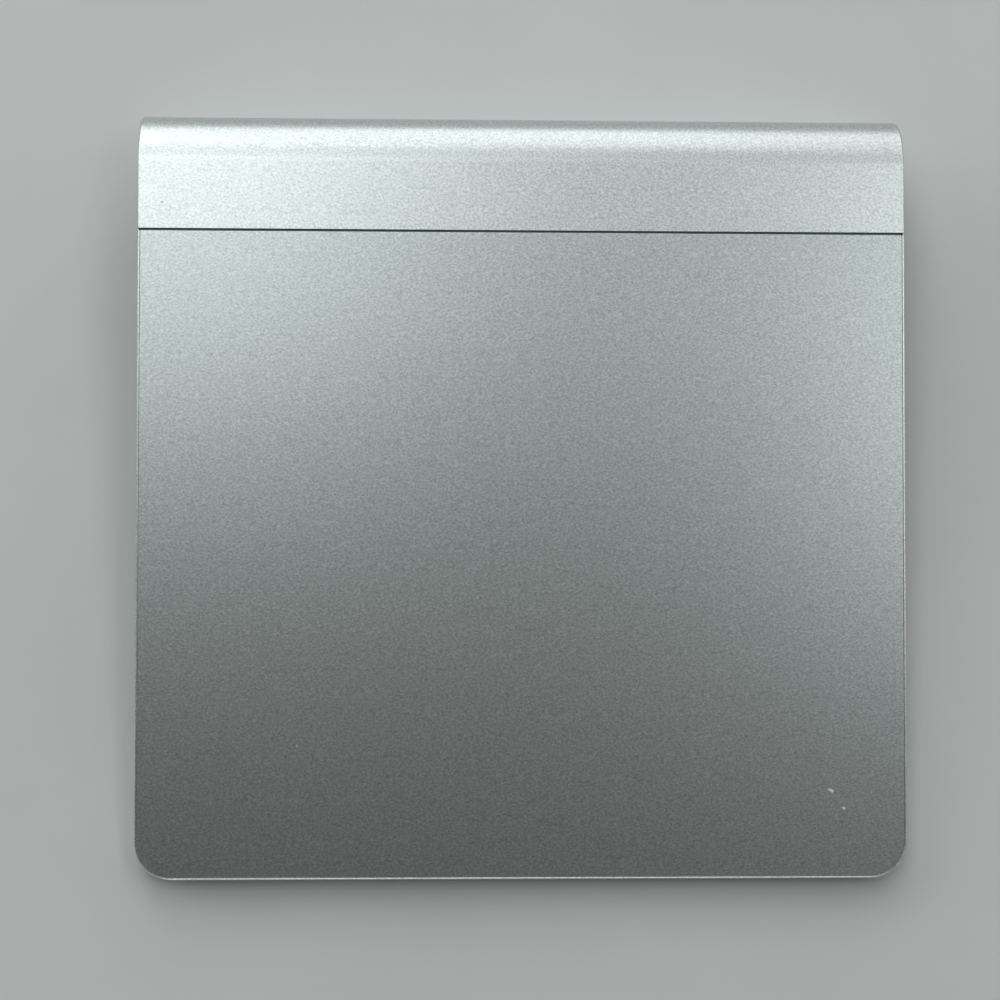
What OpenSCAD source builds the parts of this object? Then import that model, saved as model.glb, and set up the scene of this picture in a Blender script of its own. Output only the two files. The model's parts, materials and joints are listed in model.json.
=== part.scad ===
// Wireless desk trackpad: a thin metal tray with a battery tube along its back edge,
// a satin touch plate let into the tray, and two front feet that double as the click button.
// Millimetres. X runs from left to right, Y from the user to the back, Z up from the table.

/* [Body] */
// Length of the top face from its front edge to the back of the battery tube
body_l = 130.9; // [122:0.1:150]
// Radius of the two front corners seen from above
corner_r = 6.3; // [5:0.1:12]
// Height of the underside's front edge above the table
front_clear = 0.7; // [0.5:0.05:2]
// Length of the bare metal strip behind the touch plate
strip_l = 20.4; // [18.6:0.1:22]
// Radius of the cove between the flat underside and the battery tube
cove_r = 5; // [3.5:0.5:7]
// Radius of the rounded top edges
edge_r = 0.3; // [0.1:0.05:0.35]
// Radius of the rounded bottom edges
belly_r = 1; // [0.4:0.1:1.2]
// Height of the cavity between the touch sensor and the bottom cover
cavity_h = 2.1; // [2.05:0.05:3]

/* [Touch plate] */
// Thickness of the touch plate
plate_t = 0.9; // [0.7:0.05:1.2]
// Width of the metal rim round the touch plate
rim_w = 0.35; // [0.35:0.05:0.8]
// Gap between the rim and the touch plate
plate_gap = 0.15; // [0.1:0.05:0.3]
// Width of the open seam between the touch plate and the metal strip
seam_w = 0.4; // [0.2:0.05:0.8]
// Depth of the seam where it runs out through the rim on both sides
seam_notch = 0.5; // [0.3:0.05:0.7]
// Thickness of the adhesive gasket under the touch plate
gasket_t = 0.15; // [0.1:0.05:0.25]
// Width of the ledge that carries the touch plate
ledge_w = 3; // [2.6:0.1:4]
// Thickness of the touch sensor board
sensor_t = 0.6; // [0.5:0.05:0.8]
// Thickness of the aluminium stiffener under the sensor
stiffener_t = 0.4; // [0.3:0.05:0.45]

/* [Bottom cover] */
// Thickness of the bottom cover
cover_t = 0.8; // [0.6:0.05:1.2]
// Width of the tray's lip round the bottom cover
lip_w = 1.2; // [1.2:0.1:2]
// Width of the bond between the tray and the back of the cover
bond_w = 2.2; // [1.5:0.1:3]
// Gap between the lip and the bottom cover
cover_gap = 0.1; // [0.05:0.05:0.2]
// Thickness of the adhesive that holds the bottom cover
cover_bond_t = 0.1; // [0.05:0.05:0.2]

/* [Batteries] */
// Radius of one round cell
cell_r = 7.05; // [6.9:0.05:7.25]
// Length of one cell over its terminals
cell_l = 50.5; // [45:0.1:60]
// Length of the tube beyond its two cells, for the cap, the contacts and the power button
tube_ends_l = 30.3; // [26:0.1:45]
// Radius of a cell's positive terminal
terminal_r = 2.75; // [2:0.05:2.9]
// Height of a cell's positive terminal
terminal_h = 1.2; // [1:0.1:1.6]
// Radial play of the cells in their sleeve
cell_play = 0.15; // [0.1:0.05:0.3]
// Wall of the insulating sleeve round the cells
sleeve_t = 0.45; // [0.3:0.05:0.6]
// Wall of the battery tube
tube_wall = 1.15; // [1:0.05:2]
// Widening of the tube's bore at its two mouths
mouth_step = 0.4; // [0.35:0.05:0.55]

/* [Battery cap] */
// Thickness of the cap's outer disc
cap_t = 1.8; // [1.5:0.1:2.4]
// Depth of the cap's face inside the end of the tube
cap_recess = 0.2; // [0:0.05:0.5]
// Width of the coin slot
coin_slot_w = 1.8; // [1.4:0.1:2.4]
// Depth of the coin slot at its middle
coin_slot_d = 1.1; // [0.6:0.1:1.2]
// Radius of the cutter that sinks the coin slot
coin_slot_r = 9; // [7:0.5:12]
// Thickness of the rubber seal under the cap's disc
seal_d = 0.9; // [0.7:0.05:0.95]
// Length of the threaded ring in the tube's mouth
thread_l = 5; // [4:0.5:7]
// Pitch of the cap's thread
thread_pitch = 1.5; // [1.4:0.05:2]
// Depth of the cap's thread ridge
thread_h = 0.6; // [0.5:0.05:0.7]
// Overlap of the cap's thread with the ring's thread
thread_bite = 0.3; // [0.2:0.05:0.4]
// Clearance between the two threads
thread_play = 0.13; // [0.1:0.01:0.16]
// Turns of the contact spring
spring_turns = 4; // [3:1:4]
// Wire diameter of the contact spring
spring_wire = 0.7; // [0.5:0.05:0.9]

/* [Power button] */
// Radius of the power button
button_r = 4.5; // [3.5:0.1:5]
// Height of the button above the end of the tube
button_proud = 0.7; // [0.6:0.1:1.5]
// Travel of the power button
button_travel = 0.5; // [0.3:0.05:0.55]
// Thickness of the plug that closes the button's end of the tube
plug_t = 3.5; // [2.5:0.1:5]
// Thickness of the collar that keeps the button in the plug
collar_t = 0.8; // [0.6:0.1:1.2]
// Length of the stem that pushes the power switch
stem_l = 1; // [0.8:0.1:1.5]

/* [Feet] */
// Width of the rubber strip under the battery tube
rear_foot_w = 5; // [3:0.1:5.4]
// Height of the rubber strip below the tube
rear_foot_h = 1.2; // [0.8:0.1:2]
// Depth of the strip's groove in the tube
rear_foot_inset = 0.5; // [0.4:0.05:0.6]
// Distance from the body's side to the end of the rubber strip
rear_foot_end = 6.5; // [4:0.5:15]
// Radius of a click foot
foot_r = 4.6; // [3.5:0.1:5]
// Distance from the body's side to the middle of a click foot
foot_side = 14; // [12:0.5:24]
// Distance from the front edge to the middle of a click foot
foot_front = 10; // [9.8:0.1:14]
// Height of the hard plunger below the bottom cover
foot_proud = 0.6; // [0.3:0.05:0.7]
// Travel of a click foot
foot_travel = 0.4; // [0.2:0.05:0.45]

/* [Click mechanism] */
// Thickness of the steel click bar
bar_t = 0.5; // [0.4:0.05:0.55]
// Width of the click bar's beam and arms
bar_w = 8; // [6:0.5:9]
// Distance from the front edge to the click bar's hinge pins
hinge_front = 34; // [30:1:50]
// Distance from the front edge to the click switch
switch_front = 20; // [19:0.5:24]
// Radius of a hinge pin
pin_r = 0.35; // [0.25:0.05:0.4]
// Radius of the click bar's rolled knuckle
knuckle_r = 0.7; // [0.6:0.05:0.72]

/* [Boards] */
// Width of the main board
board_w = 80; // [72:1:100]
// Depth of the main board
board_l = 18; // [17:0.5:24]
// Thickness of the main board
board_t = 0.7; // [0.5:0.05:0.75]
// Space between the touch sensor and the main board
board_gap = 0.8; // [0.75:0.05:0.85]
// Width of the flat cable between the main board and the power switch
power_flex_w = 6; // [4:0.5:7]

/* [Hidden] */

// Finishes, as sRGB shares
BLASTED_ALUMINIUM = [0.82, 0.85, 0.85];
COATED_GLASS = [0.66, 0.70, 0.70];
STEEL = [0.62, 0.63, 0.64];
BOARD_GREEN = [0.10, 0.22, 0.16];
CHIP_BLACK = [0.08, 0.08, 0.09];
FOIL = [0.75, 0.73, 0.66];
COPPER_FLEX = [0.72, 0.46, 0.18];
GREY_PLASTIC = [0.56, 0.58, 0.58];
DARK_PLASTIC = [0.16, 0.16, 0.17];
FOOT_RUBBER = [0.72, 0.73, 0.72];
TAPE = [0.20, 0.20, 0.21];

// Small clearances that many pieces share
slip = 0.05;
edge_play = 0.3;
far = 400;
$fn = 64;

// Layers below the top face, measured down the body's own normal
sensor_n = plate_t + sensor_t;
inner_n = sensor_n + cavity_h;
slab_t = inner_n + cover_t;
recess_n = plate_t + gasket_t;
board_n = sensor_n + board_gap;
stiffener_n = sensor_n + stiffener_t;

// The body is as wide as the tube with its two cells and what closes its ends
body_w = 2 * cell_l + tube_ends_l;
half_w = body_w / 2;

// Outlines of the tray, as distances in from the body's side and from its front edge
plate_in = rim_w + plate_gap;
window_in = rim_w + ledge_w;
cover_in = lip_w + cover_gap;
sensor_in = window_in + edge_play;
back_corner_r = 0.3;
seam_u = body_l - strip_l;

// Battery tube, from the cells outwards
passage_r = cell_r + cell_play;
bore_r = passage_r + sleeve_t;
mouth_r = bore_r + mouth_step;
tube_r = bore_r + tube_wall;
tube_u = body_l - tube_r;

// The body leans so that the tube stands on its strip and the front edge keeps its height
lean_run = body_l - tube_r;
lean_drop = tube_r - slab_t;
lean_rise = tube_r + rear_foot_h - front_clear;
lean = asin(lean_rise / norm([lean_run, lean_drop])) + atan2(lean_drop, lean_run);
front_h = slab_t * cos(lean) + front_clear;
depth_y = tube_u * cos(lean) + tube_r * sin(lean) + tube_r;

// The cove touches the flat underside here and the tube on the line between the two centres
cove_drop = slab_t + cove_r - tube_r;
cove_u = tube_u - sqrt(pow(tube_r + cove_r, 2) - pow(cove_drop, 2));
cover_u1 = cove_u - lip_w;
window_u1 = cover_u1 - bond_w;

// Stations along the battery tube, from its left end
left_x = -half_w;
right_x = half_w;
seal_w = 1;
cap_x = left_x + cap_recess;
ring_x = cap_x + cap_t + seal_w;
mouth_x = ring_x + thread_l;
spring_room = 0.6;
cell_x = mouth_x + spring_room;
contact_x = cell_x + 2 * cell_l;
contact_t = 0.4;
contact_rim = 1.5;
carrier_x = contact_x + contact_t;
plug_x = right_x - plug_t;
collar_x = plug_x - collar_t;
stem_x = collar_x - stem_l;
switch_reach = 0.7;
switch_t = 1.6;
power_switch_body = 6;
power_switch_sunk = 0.4;
power_switch_r = 1.75;
button_collar_w = 1;
stem_r = 1.5;
chamfer = 0.3;
power_board_t = 1;
power_switch_x = stem_x - slip - switch_reach - switch_t;
power_board_x = power_switch_x - power_board_t;

// Thread of the battery cap, and of the ring that it screws into
ring_minor_r = passage_r;
cap_crest_r = ring_minor_r + thread_bite;
cap_core_r = cap_crest_r - thread_h;
ring_root_r = cap_crest_r + thread_play;
cap_play = 0.15;
cap_r = mouth_r - cap_play;
cup_wall = 1.3;
cup_r = cap_core_r - cup_wall;
thread_crest_w = 0.25;
thread_flank = tan(30);
thread_sink = 0.2;
thread_steps = 24;
cap_ridge_turns = 2;

// Power switch's flat cable runs through a slot between the tray and the tube
slot_play = 0.3;
slot_wall = 2;
slot_x = power_board_x - slot_wall - slot_play - power_flex_w / 2;
flex_t = 0.12;
flex_lap = 6;

// Main board, with its back edge in a pocket of the tray
board_tab = 3;
board_u1 = window_u1 + board_tab;
board_u0 = board_u1 - board_l;
board_side = 4;
board_x1 = slot_x + power_flex_w / 2 + board_side;
board_x0 = board_x1 - board_w;
board_bottom_n = board_n + board_t;
screw_edge = 5;
screw_xs = [board_x0 + screw_edge, board_x0 + board_w / 2, slot_x - power_flex_w / 2 - screw_edge];
screw_u = board_u1 - board_tab / 2;
screw_r = 0.6;
screw_head_r = 1.2;
screw_head_h = 0.4;
screw_bite = 0.8;
screw_play = 0.15;
chip_h = 0.6;
can_wall = 0.15;

// Plan sizes of what stands on the main board, across and along
controller_size = [8, 7];
radio_size = [5, 5];
crystal_size = [2, 2.5];
can_size = [12, 10];
regulator_size = [3, 3];
antenna_size = [7, 2];
socket_size = [16, 3];
led_size = [1.6, 1.2];
led_h = 0.4;
led_hole_r = 0.5;
led_side = 5;
led_back = 3;

// Where they stand, as shares of the board's width and depth
controller_at = [0.325, 0.62];
radio_at = [0.55, 0.5];
crystal_at = [0.62, 0.5];
can_at = [0.58, 0.5];
regulator_at = [0.78, 0.5];
antenna_at = [0.075, 0.28];
socket_at = [0.325, 0.28];

// Click mechanism, hung in the front of the cavity
foot_x = half_w - foot_side;
foot_collar_w = 1;
collar_r = foot_r + foot_collar_w;
foot_collar_t = 0.5;
bar_bottom_n = inner_n + cover_bond_t - foot_collar_t - slip;
bar_top_n = bar_bottom_n - bar_t;
stud_r = 1.2;
tongue_lap = 2;
bracket_l = 4;
hinge_floor = 0.15;
hinge_n = inner_n - knuckle_r - hinge_floor;
hinge_x = foot_x - foot_r - bar_w;
bracket_t = 0.4;
pin_l = bar_w + 2 * bracket_t + 4 * slip;
foot_arm = hinge_front - foot_front;
switch_arm = hinge_front - switch_front;
click_angle = asin(foot_travel / foot_arm);
switch_press = switch_arm * sin(click_angle);
click_button_r = 1.5;
click_button_reach = 0.3;
click_button_sunk = 0.1;
click_body = 5;
click_window = 1;
leaf_l = 22;
leaf_w = 5;
leaf_t = 0.15;
leaf_x = foot_x / 2;

// Place of the status lamp, from the sensor's right and back edges
led_x = half_w - sensor_in - led_side;
led_u = window_u1 - edge_play - led_back;

// Points on an arc, from angle a0 to angle a1
function arc(centre, r, a0, a1, steps = 16) =
    [for (i = [0:steps]) centre + r * [cos(a0 + (a1 - a0) * i / steps), sin(a0 + (a1 - a0) * i / steps)]];

// Outline of the tray seen from above, drawn in by the same distance on its sides and front
function plan(inset, u1, back_r = back_corner_r) = let(
    w = half_w - inset,
    r = max(corner_r - inset, 1)
) concat(
    arc([w - r, inset + r], r, -90, 0),
    arc([w - back_r, u1 - back_r], back_r, 0, 90, 4),
    arc([-w + back_r, u1 - back_r], back_r, 90, 180, 4),
    arc([-w + r, inset + r], r, 180, 270)
);

// One tube or ridge swept through a list of rings that all have as many points
module sweep(rings) {
    count = len(rings[0]);
    last = len(rings) - 1;
    sides = [
        for (i = [0:last - 1], j = [0:count - 1]) let(
            a = i * count + j,
            b = i * count + (j + 1) % count
        ) each [[a, b, b + count], [a, b + count, a + count]]
    ];
    start = [for (j = [1:count - 2]) [0, j + 1, j]];
    finish = [for (j = [1:count - 2]) [last * count, last * count + j, last * count + j + 1]];
    polyhedron(points = [for (ring = rings) each ring], faces = concat(sides, start, finish));
}

// Sets a piece that is drawn in the body's own axes down on the table, leaning as the body leans
module in_body() {
    translate([0, -depth_y / 2, front_h]) rotate([lean, 0, 0]) children();
}

// Sets a round piece on the axis of the battery tube, with its own Z along the tube
module on_tube(x) {
    in_body() translate([x, tube_u, -tube_r]) rotate([0, 90, 0]) children();
}

// A flat layer of the body between two depths below the top face
module layer(top_n, bottom_n) {
    translate([0, 0, -bottom_n]) linear_extrude(bottom_n - top_n) children();
}

// A box of the body: from side x0 to x1, from front u0 to u1, and from depth top_n to bottom_n
module block(x0, x1, u0, u1, top_n, bottom_n) {
    translate([x0, u0, -bottom_n]) cube([x1 - x0, u1 - u0, bottom_n - top_n]);
}

// A shape drawn in the body's side view, drawn out across the body
module across(x0, x1) {
    translate([x0, 0, 0]) rotate([90, 0, 90]) linear_extrude(x1 - x0) children();
}

// Cylinder that stands along the body's normal
module post(x, u, r, top_n, bottom_n) {
    translate([x, u, -bottom_n]) cylinder(h = bottom_n - top_n, r = r);
}

// The tray and the tube, before anything is cut from them
module chassis_blank() {
    front_profile = concat(
        arc([edge_r, -edge_r], edge_r, 90, 180, 4),
        arc([belly_r, -slab_t + belly_r], belly_r, 180, 270, 8),
        [[tube_u, -slab_t], [tube_u, 0]]
    );
    side_profile = concat(
        arc([half_w - edge_r, -edge_r], edge_r, 0, 90, 4),
        arc([-half_w + edge_r, -edge_r], edge_r, 90, 180, 4),
        arc([-half_w + belly_r, -slab_t + belly_r], belly_r, 180, 270, 8),
        arc([half_w - belly_r, -slab_t + belly_r], belly_r, 270, 360, 8)
    );
    intersection() {
        layer(0, slab_t) polygon(plan(0, tube_u));
        across(left_x, right_x) polygon(front_profile);
        translate([0, tube_u, 0]) rotate([90, 0, 0]) linear_extrude(tube_u) polygon(side_profile);
    }
    translate([left_x, tube_u, -tube_r]) rotate([0, 90, 0]) cylinder(h = body_w, r = tube_r, $fn = 128);
    across(left_x, right_x) difference() {
        polygon([
            [cove_u, -slab_t + belly_r], [tube_u, 0], [tube_u, -tube_r],
            [cove_u, -slab_t - cove_r]
        ]);
        translate([cove_u, -slab_t - cove_r]) circle(r = cove_r);
    }
}

// One-piece aluminium tray and battery tube
module chassis() {
    color(BLASTED_ALUMINIUM) difference() {
        in_body() difference() {
            chassis_blank();
            layer(-1, recess_n) polygon(plan(rim_w, seam_u));
            block(left_x - 1, right_x + 1, seam_u - seam_w, seam_u, -1, seam_notch);
            layer(0, slab_t + 1) polygon(plan(window_in, window_u1));
            layer(inner_n, slab_t + 1) polygon(plan(lip_w, cover_u1));
            block(board_x0 - edge_play, board_x1 + edge_play, window_u1 - 1, board_u1 + edge_play,
                board_n, inner_n);
            block(slot_x - power_flex_w / 2 - slot_play, slot_x + power_flex_w / 2 + slot_play,
                board_u1, tube_u, board_bottom_n - slot_play, board_bottom_n + flex_t + slot_play);
            for (x = screw_xs) {
                post(x, screw_u, screw_r + slip / 2, board_n - screw_bite - slip, board_n + 1);
            }
        }
        on_tube(left_x - 1) cylinder(h = body_w + 2, r = bore_r);
        on_tube(left_x - 1) cylinder(h = mouth_x - left_x + 1, r = mouth_r);
        on_tube(plug_x) cylinder(h = plug_t + 1, r = mouth_r);
        rear_foot_blank(slip);
    }
}

// Satin-etched glass with a silver coat on its back, which is what the fingers touch
module touch_plate() {
    color(COATED_GLASS) in_body() layer(0, plate_t) polygon(plan(plate_in, seam_u - seam_w));
}

// Frame of adhesive between the touch plate and the tray's ledge
module plate_gasket() {
    color(TAPE) in_body() layer(plate_t, recess_n) difference() {
        polygon(plan(plate_in, seam_u - seam_w));
        polygon(plan(window_in, window_u1));
    }
}

// Electrode board bonded to the back of the touch plate, with a hole that lets the light through
module touch_sensor() {
    color(BOARD_GREEN) in_body() difference() {
        layer(plate_t, sensor_n) polygon(plan(sensor_in, window_u1 - edge_play));
        post(led_x, led_u, led_hole_r, 0, sensor_n + far);
    }
}

// Small lamp under the hole in the touch sensor
module status_led() {
    color("white") in_body() block(led_x - led_size.x / 2, led_x + led_size.x / 2,
        led_u - led_size.y / 2, led_u + led_size.y / 2, sensor_n, sensor_n + led_h);
}

// Thin aluminium sheet that stiffens the front of the touch plate, with a window for the click switch
module stiffener_plate() {
    window = click_body / 2 + click_window;
    color(STEEL) in_body() difference() {
        layer(sensor_n, stiffener_n) polygon(plan(sensor_in, board_u0 - 2));
        block(-window, window, switch_front - window, switch_front + window, sensor_n - 1, stiffener_n + 1);
    }
}

// Flat aluminium sheet that closes the underside, with round holes for the click feet
module bottom_cover() {
    color(BLASTED_ALUMINIUM) in_body() difference() {
        layer(inner_n + cover_bond_t, slab_t) polygon(plan(cover_in, cover_u1 - cover_gap));
        for (side = [-1, 1]) post(side * foot_x, foot_front, foot_r + edge_play, inner_n - 1, slab_t + 1);
    }
}

// Frame of adhesive between the tray and the bottom cover
module cover_adhesive() {
    color(TAPE) in_body() difference() {
        layer(inner_n, inner_n + cover_bond_t) polygon(plan(cover_in, cover_u1 - cover_gap));
        layer(inner_n - 1, inner_n + 1) polygon(plan(window_in, window_u1));
        block(board_x0 - edge_play, board_x1 + edge_play, window_u1 - 1, far, inner_n - 1, inner_n + 1);
    }
}

// Main circuit board
module main_board() {
    color(BOARD_GREEN) in_body() difference() {
        block(board_x0, board_x1, board_u0, board_u1, board_n, board_bottom_n);
        for (x = screw_xs) post(x, screw_u, screw_r + screw_play, 0, far);
    }
}

// A flat component on the upper face of the main board, at shares of the board's width and depth
module on_board(at, size, h) {
    x = board_x0 + at.x * board_w;
    u = board_u0 + at.y * board_l;
    block(x - size.x / 2, x + size.x / 2, u - size.y / 2, u + size.y / 2, board_n - h, board_n);
}

module touch_controller() {
    color(CHIP_BLACK) in_body() on_board(controller_at, controller_size, chip_h);
}

module radio_chip() {
    color(CHIP_BLACK) in_body() on_board(radio_at, radio_size, chip_h - can_wall - slip);
}

module crystal() {
    color(STEEL) in_body() on_board(crystal_at, crystal_size, chip_h - can_wall - slip);
}

// Folded tin lid over the radio
module shield_can() {
    color(FOIL) in_body() difference() {
        on_board(can_at, can_size, chip_h);
        translate([0, 0, -can_wall]) on_board(can_at, can_size - 2 * [can_wall, can_wall], chip_h);
    }
}

module power_regulator() {
    color(CHIP_BLACK) in_body() on_board(regulator_at, regulator_size, chip_h);
}

// Ceramic aerial at the clear end of the main board
module antenna() {
    color("white") in_body() on_board(antenna_at, antenna_size, chip_h);
}

// Socket that takes the touch sensor's flat cable
module sensor_connector() {
    color(DARK_PLASTIC) in_body() on_board(socket_at, socket_size, chip_h);
}

// Flat cable from the back of the touch sensor down into its socket
module sensor_flex() {
    socket_x = board_x0 + socket_at.x * board_w;
    socket_u = board_u0 + socket_at.y * board_l - socket_size.y / 2;
    socket_n = board_n - chip_h / 2;
    start_u = board_u0 - socket_size.y / 2;
    turn_u = (start_u + socket_u) / 2;
    level_u = (turn_u + 2 * socket_u) / 3;
    half = socket_size.x / 2 - 2 * edge_play;
    color(COPPER_FLEX) in_body() across(socket_x - half, socket_x + half) polygon([
        [start_u, -sensor_n], [turn_u, -sensor_n], [level_u, -socket_n + flex_t / 2],
        [socket_u, -socket_n + flex_t / 2], [socket_u, -socket_n - flex_t / 2],
        [level_u, -socket_n - flex_t / 2], [turn_u, -sensor_n - flex_t], [start_u, -sensor_n - flex_t]
    ]);
}

// Flat cable from the main board through the slot to the power switch's carrier
module power_flex() {
    color(COPPER_FLEX) in_body() block(slot_x - power_flex_w / 2, slot_x + power_flex_w / 2,
        board_u1 - flex_lap, tube_u, board_bottom_n, board_bottom_n + flex_t);
}

// Screws that hold the main board up against the tray
module board_screws() {
    color(STEEL) in_body() for (x = screw_xs) {
        post(x, screw_u, screw_head_r, board_bottom_n, board_bottom_n + screw_head_h);
        post(x, screw_u, screw_r, board_n - screw_bite, board_bottom_n);
    }
}

// Stamped steel bar that joins both click feet and swings on two pins behind them
module click_bar() {
    color(STEEL) in_body() difference() {
        union() {
            block(-foot_x - foot_r, foot_x + foot_r, foot_front - bar_w / 2, foot_front + bar_w / 2,
                bar_top_n, bar_bottom_n);
            block(-bar_w / 2, bar_w / 2, foot_front, switch_front + tongue_lap, bar_top_n, bar_bottom_n);
            for (side = [-1, 1]) translate([side * hinge_x, 0, 0]) {
                block(-bar_w / 2, bar_w / 2, foot_front, hinge_front, bar_top_n, bar_bottom_n);
                translate([-bar_w / 2, hinge_front, -hinge_n]) rotate([0, 90, 0])
                    cylinder(h = bar_w, r = knuckle_r);
            }
        }
        for (side = [-1, 1]) {
            translate([side * hinge_x - bar_w, hinge_front, -hinge_n]) rotate([0, 90, 0])
                cylinder(h = 2 * bar_w, r = pin_r + slip);
            post(side * foot_x, foot_front, stud_r + slip, bar_top_n - 1, bar_bottom_n + 1);
        }
    }
}

// Hard plunger of a click foot, staked into the click bar and kept in by its collar
module foot_plunger(side) {
    color(GREY_PLASTIC) in_body() {
        post(side * foot_x, foot_front, stud_r, bar_top_n, bar_bottom_n);
        post(side * foot_x, foot_front, collar_r, bar_bottom_n, bar_bottom_n + foot_collar_t);
        post(side * foot_x, foot_front, foot_r, bar_bottom_n + foot_collar_t, slab_t + foot_proud);
    }
}

// Rubber pad under a click foot, ground flat to the table
module foot_pad(side) {
    color(FOOT_RUBBER) intersection() {
        in_body() post(side * foot_x, foot_front, foot_r, slab_t + foot_proud, slab_t + far / 4);
        translate([-far / 2, -far / 2, 0]) cube(far);
    }
}

// Folded steel bracket bonded under the stiffener, with an ear on each side of the knuckle
module hinge_bracket(side) {
    ear = bar_w / 2 + slip;
    reach = knuckle_r;
    color(STEEL) in_body() translate([side * hinge_x, 0, 0]) difference() {
        union() {
            for (x = [-ear - bracket_t, ear]) {
                block(x, x + bracket_t, hinge_front - reach, hinge_front + bracket_l,
                    stiffener_n, hinge_n + reach);
            }
            block(-ear - slip, ear + slip, hinge_front + knuckle_r + edge_play, hinge_front + bracket_l,
                stiffener_n, stiffener_n + bracket_t);
        }
        translate([-bar_w, hinge_front, -hinge_n]) rotate([0, 90, 0])
            cylinder(h = 2 * bar_w, r = pin_r + slip / 2);
    }
}

// Steel hinge pin
module hinge_pin(side) {
    color(STEEL) in_body() translate([side * hinge_x - pin_l / 2, hinge_front, -hinge_n])
        rotate([0, 90, 0]) cylinder(h = pin_l, r = pin_r);
}

// Bowed leaf spring that presses the click bar away from the stiffener
module click_spring(side) {
    rise = bar_top_n - stiffener_n - leaf_t - slip;
    bow = [for (i = [-8:8]) [i / 8 * leaf_l / 2, -stiffener_n - rise * (1 - pow(i / 8, 2))]];
    under = [for (i = [8:-1:-8]) bow[i + 8] - [0, leaf_t]];
    color(STEEL) in_body() translate([side * leaf_x, foot_front + leaf_w / 2, 0])
        rotate([90, 0, 0]) linear_extrude(leaf_w) polygon(concat(bow, under));
}

// Body of the click switch, soldered under the touch sensor
module click_switch() {
    bottom_n = bar_top_n - slip - click_button_reach;
    color(DARK_PLASTIC) in_body() difference() {
        block(-click_body / 2, click_body / 2, switch_front - click_body / 2, switch_front + click_body / 2,
            sensor_n, bottom_n);
        post(0, switch_front, click_button_r + slip, bottom_n - click_button_sunk - switch_press - slip,
            bottom_n + 1);
    }
}

// Button of the click switch
module click_switch_button() {
    bottom_n = bar_top_n - slip;
    color(GREY_PLASTIC) in_body() post(0, switch_front, click_button_r,
        bottom_n - click_button_reach - click_button_sunk, bottom_n);
}

// Section of the rubber strip, with its lower edges rounded, drawn out under the tube
module rear_foot_blank(play) {
    w = rear_foot_w / 2 + play;
    l = half_w - rear_foot_end + play;
    r = rear_foot_h / 2;
    top = rear_foot_h + rear_foot_inset;
    section = concat(
        arc([w - r, r], r, -90, 0, 6), [[w, top], [-w, top]], arc([-w + r, r], r, 180, 270, 6)
    );
    translate([0, depth_y / 2 - tube_r, 0]) across(-l, l) polygon(section);
}

// Rubber strip that the back of the trackpad stands on
module rear_foot() {
    color(FOOT_RUBBER) rear_foot_blank(0);
}

// Thin insulating sleeve between the cells and the tube
module battery_sleeve() {
    color(GREY_PLASTIC) on_tube(mouth_x) difference() {
        cylinder(h = carrier_x - mouth_x, r = bore_r - slip);
        translate([0, 0, -1]) cylinder(h = far, r = passage_r);
    }
}

// Width of the crimped shoulder of a cell
shoulder = 0.5;

// Round cell with a crimped shoulder and a raised positive terminal
module cell(x) {
    can_l = cell_l - terminal_h;
    on_tube(x) rotate_extrude() polygon([
        [0, 0], [cell_r - shoulder, 0], [cell_r, shoulder], [cell_r, can_l - shoulder],
        [cell_r - shoulder, can_l], [terminal_r, can_l], [terminal_r, cell_l], [0, cell_l]
    ]);
}

module left_cell() {
    color([0.30, 0.32, 0.34]) cell(cell_x);
}

module right_cell() {
    color([0.30, 0.32, 0.34]) cell(cell_x + cell_l);
}

// Plated contact that the last cell's terminal rests on
module positive_contact() {
    color(FOIL) on_tube(contact_x) cylinder(h = contact_t, r = terminal_r + contact_rim);
}

// Moulded plug inside the tube that holds the positive contact and the power switch's board
module contact_carrier() {
    color(DARK_PLASTIC) difference() {
        on_tube(carrier_x) cylinder(h = power_board_x - carrier_x, r = bore_r - slip);
        in_body() block(slot_x - power_flex_w / 2 - slot_play, slot_x + power_flex_w / 2 + slot_play,
            tube_u - far / 4, tube_u, board_bottom_n - slot_play, board_bottom_n + flex_t + slot_play);
    }
}

// Rings of a thread ridge or of the groove that takes it, round the piece's own Z
function thread_rings(z0, turns, root_r, crest_r, play, taper) = [
    for (i = [0:turns * thread_steps]) let(
        a = 360 * i / thread_steps,
        run_out = taper ? min(1, min(i, turns * thread_steps - i) / (thread_steps / 4)) : 1,
        tip_r = root_r + (crest_r - root_r) * max(run_out, 0.05),
        tip_w = thread_crest_w / 2 + max(cap_crest_r - tip_r, 0) * thread_flank + play,
        root_w = thread_crest_w / 2 + (cap_crest_r - root_r) * thread_flank + play,
        z = z0 + thread_pitch * i / thread_steps,
        out = [cos(a), sin(a), 0],
        up = [0, 0, 1]
    ) [
        out * root_r + up * (z - root_w), out * tip_r + up * (z - tip_w),
        out * tip_r + up * (z + tip_w), out * root_r + up * (z + root_w)
    ]
];

// Where the thread's helix starts, measured from the ring's outer face
thread_start = thread_pitch * 0.75;

// Threaded ring bonded into the mouth of the tube
module thread_ring() {
    lead = 2;
    turns = ceil(thread_l / thread_pitch) + 2 * lead;
    color(GREY_PLASTIC) on_tube(ring_x) difference() {
        cylinder(h = thread_l, r = mouth_r - slip);
        translate([0, 0, -1]) cylinder(h = far, r = ring_minor_r);
        sweep(thread_rings(thread_start - lead * thread_pitch, turns, ring_minor_r - thread_sink, ring_root_r,
            thread_play, false));
    }
}

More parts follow.
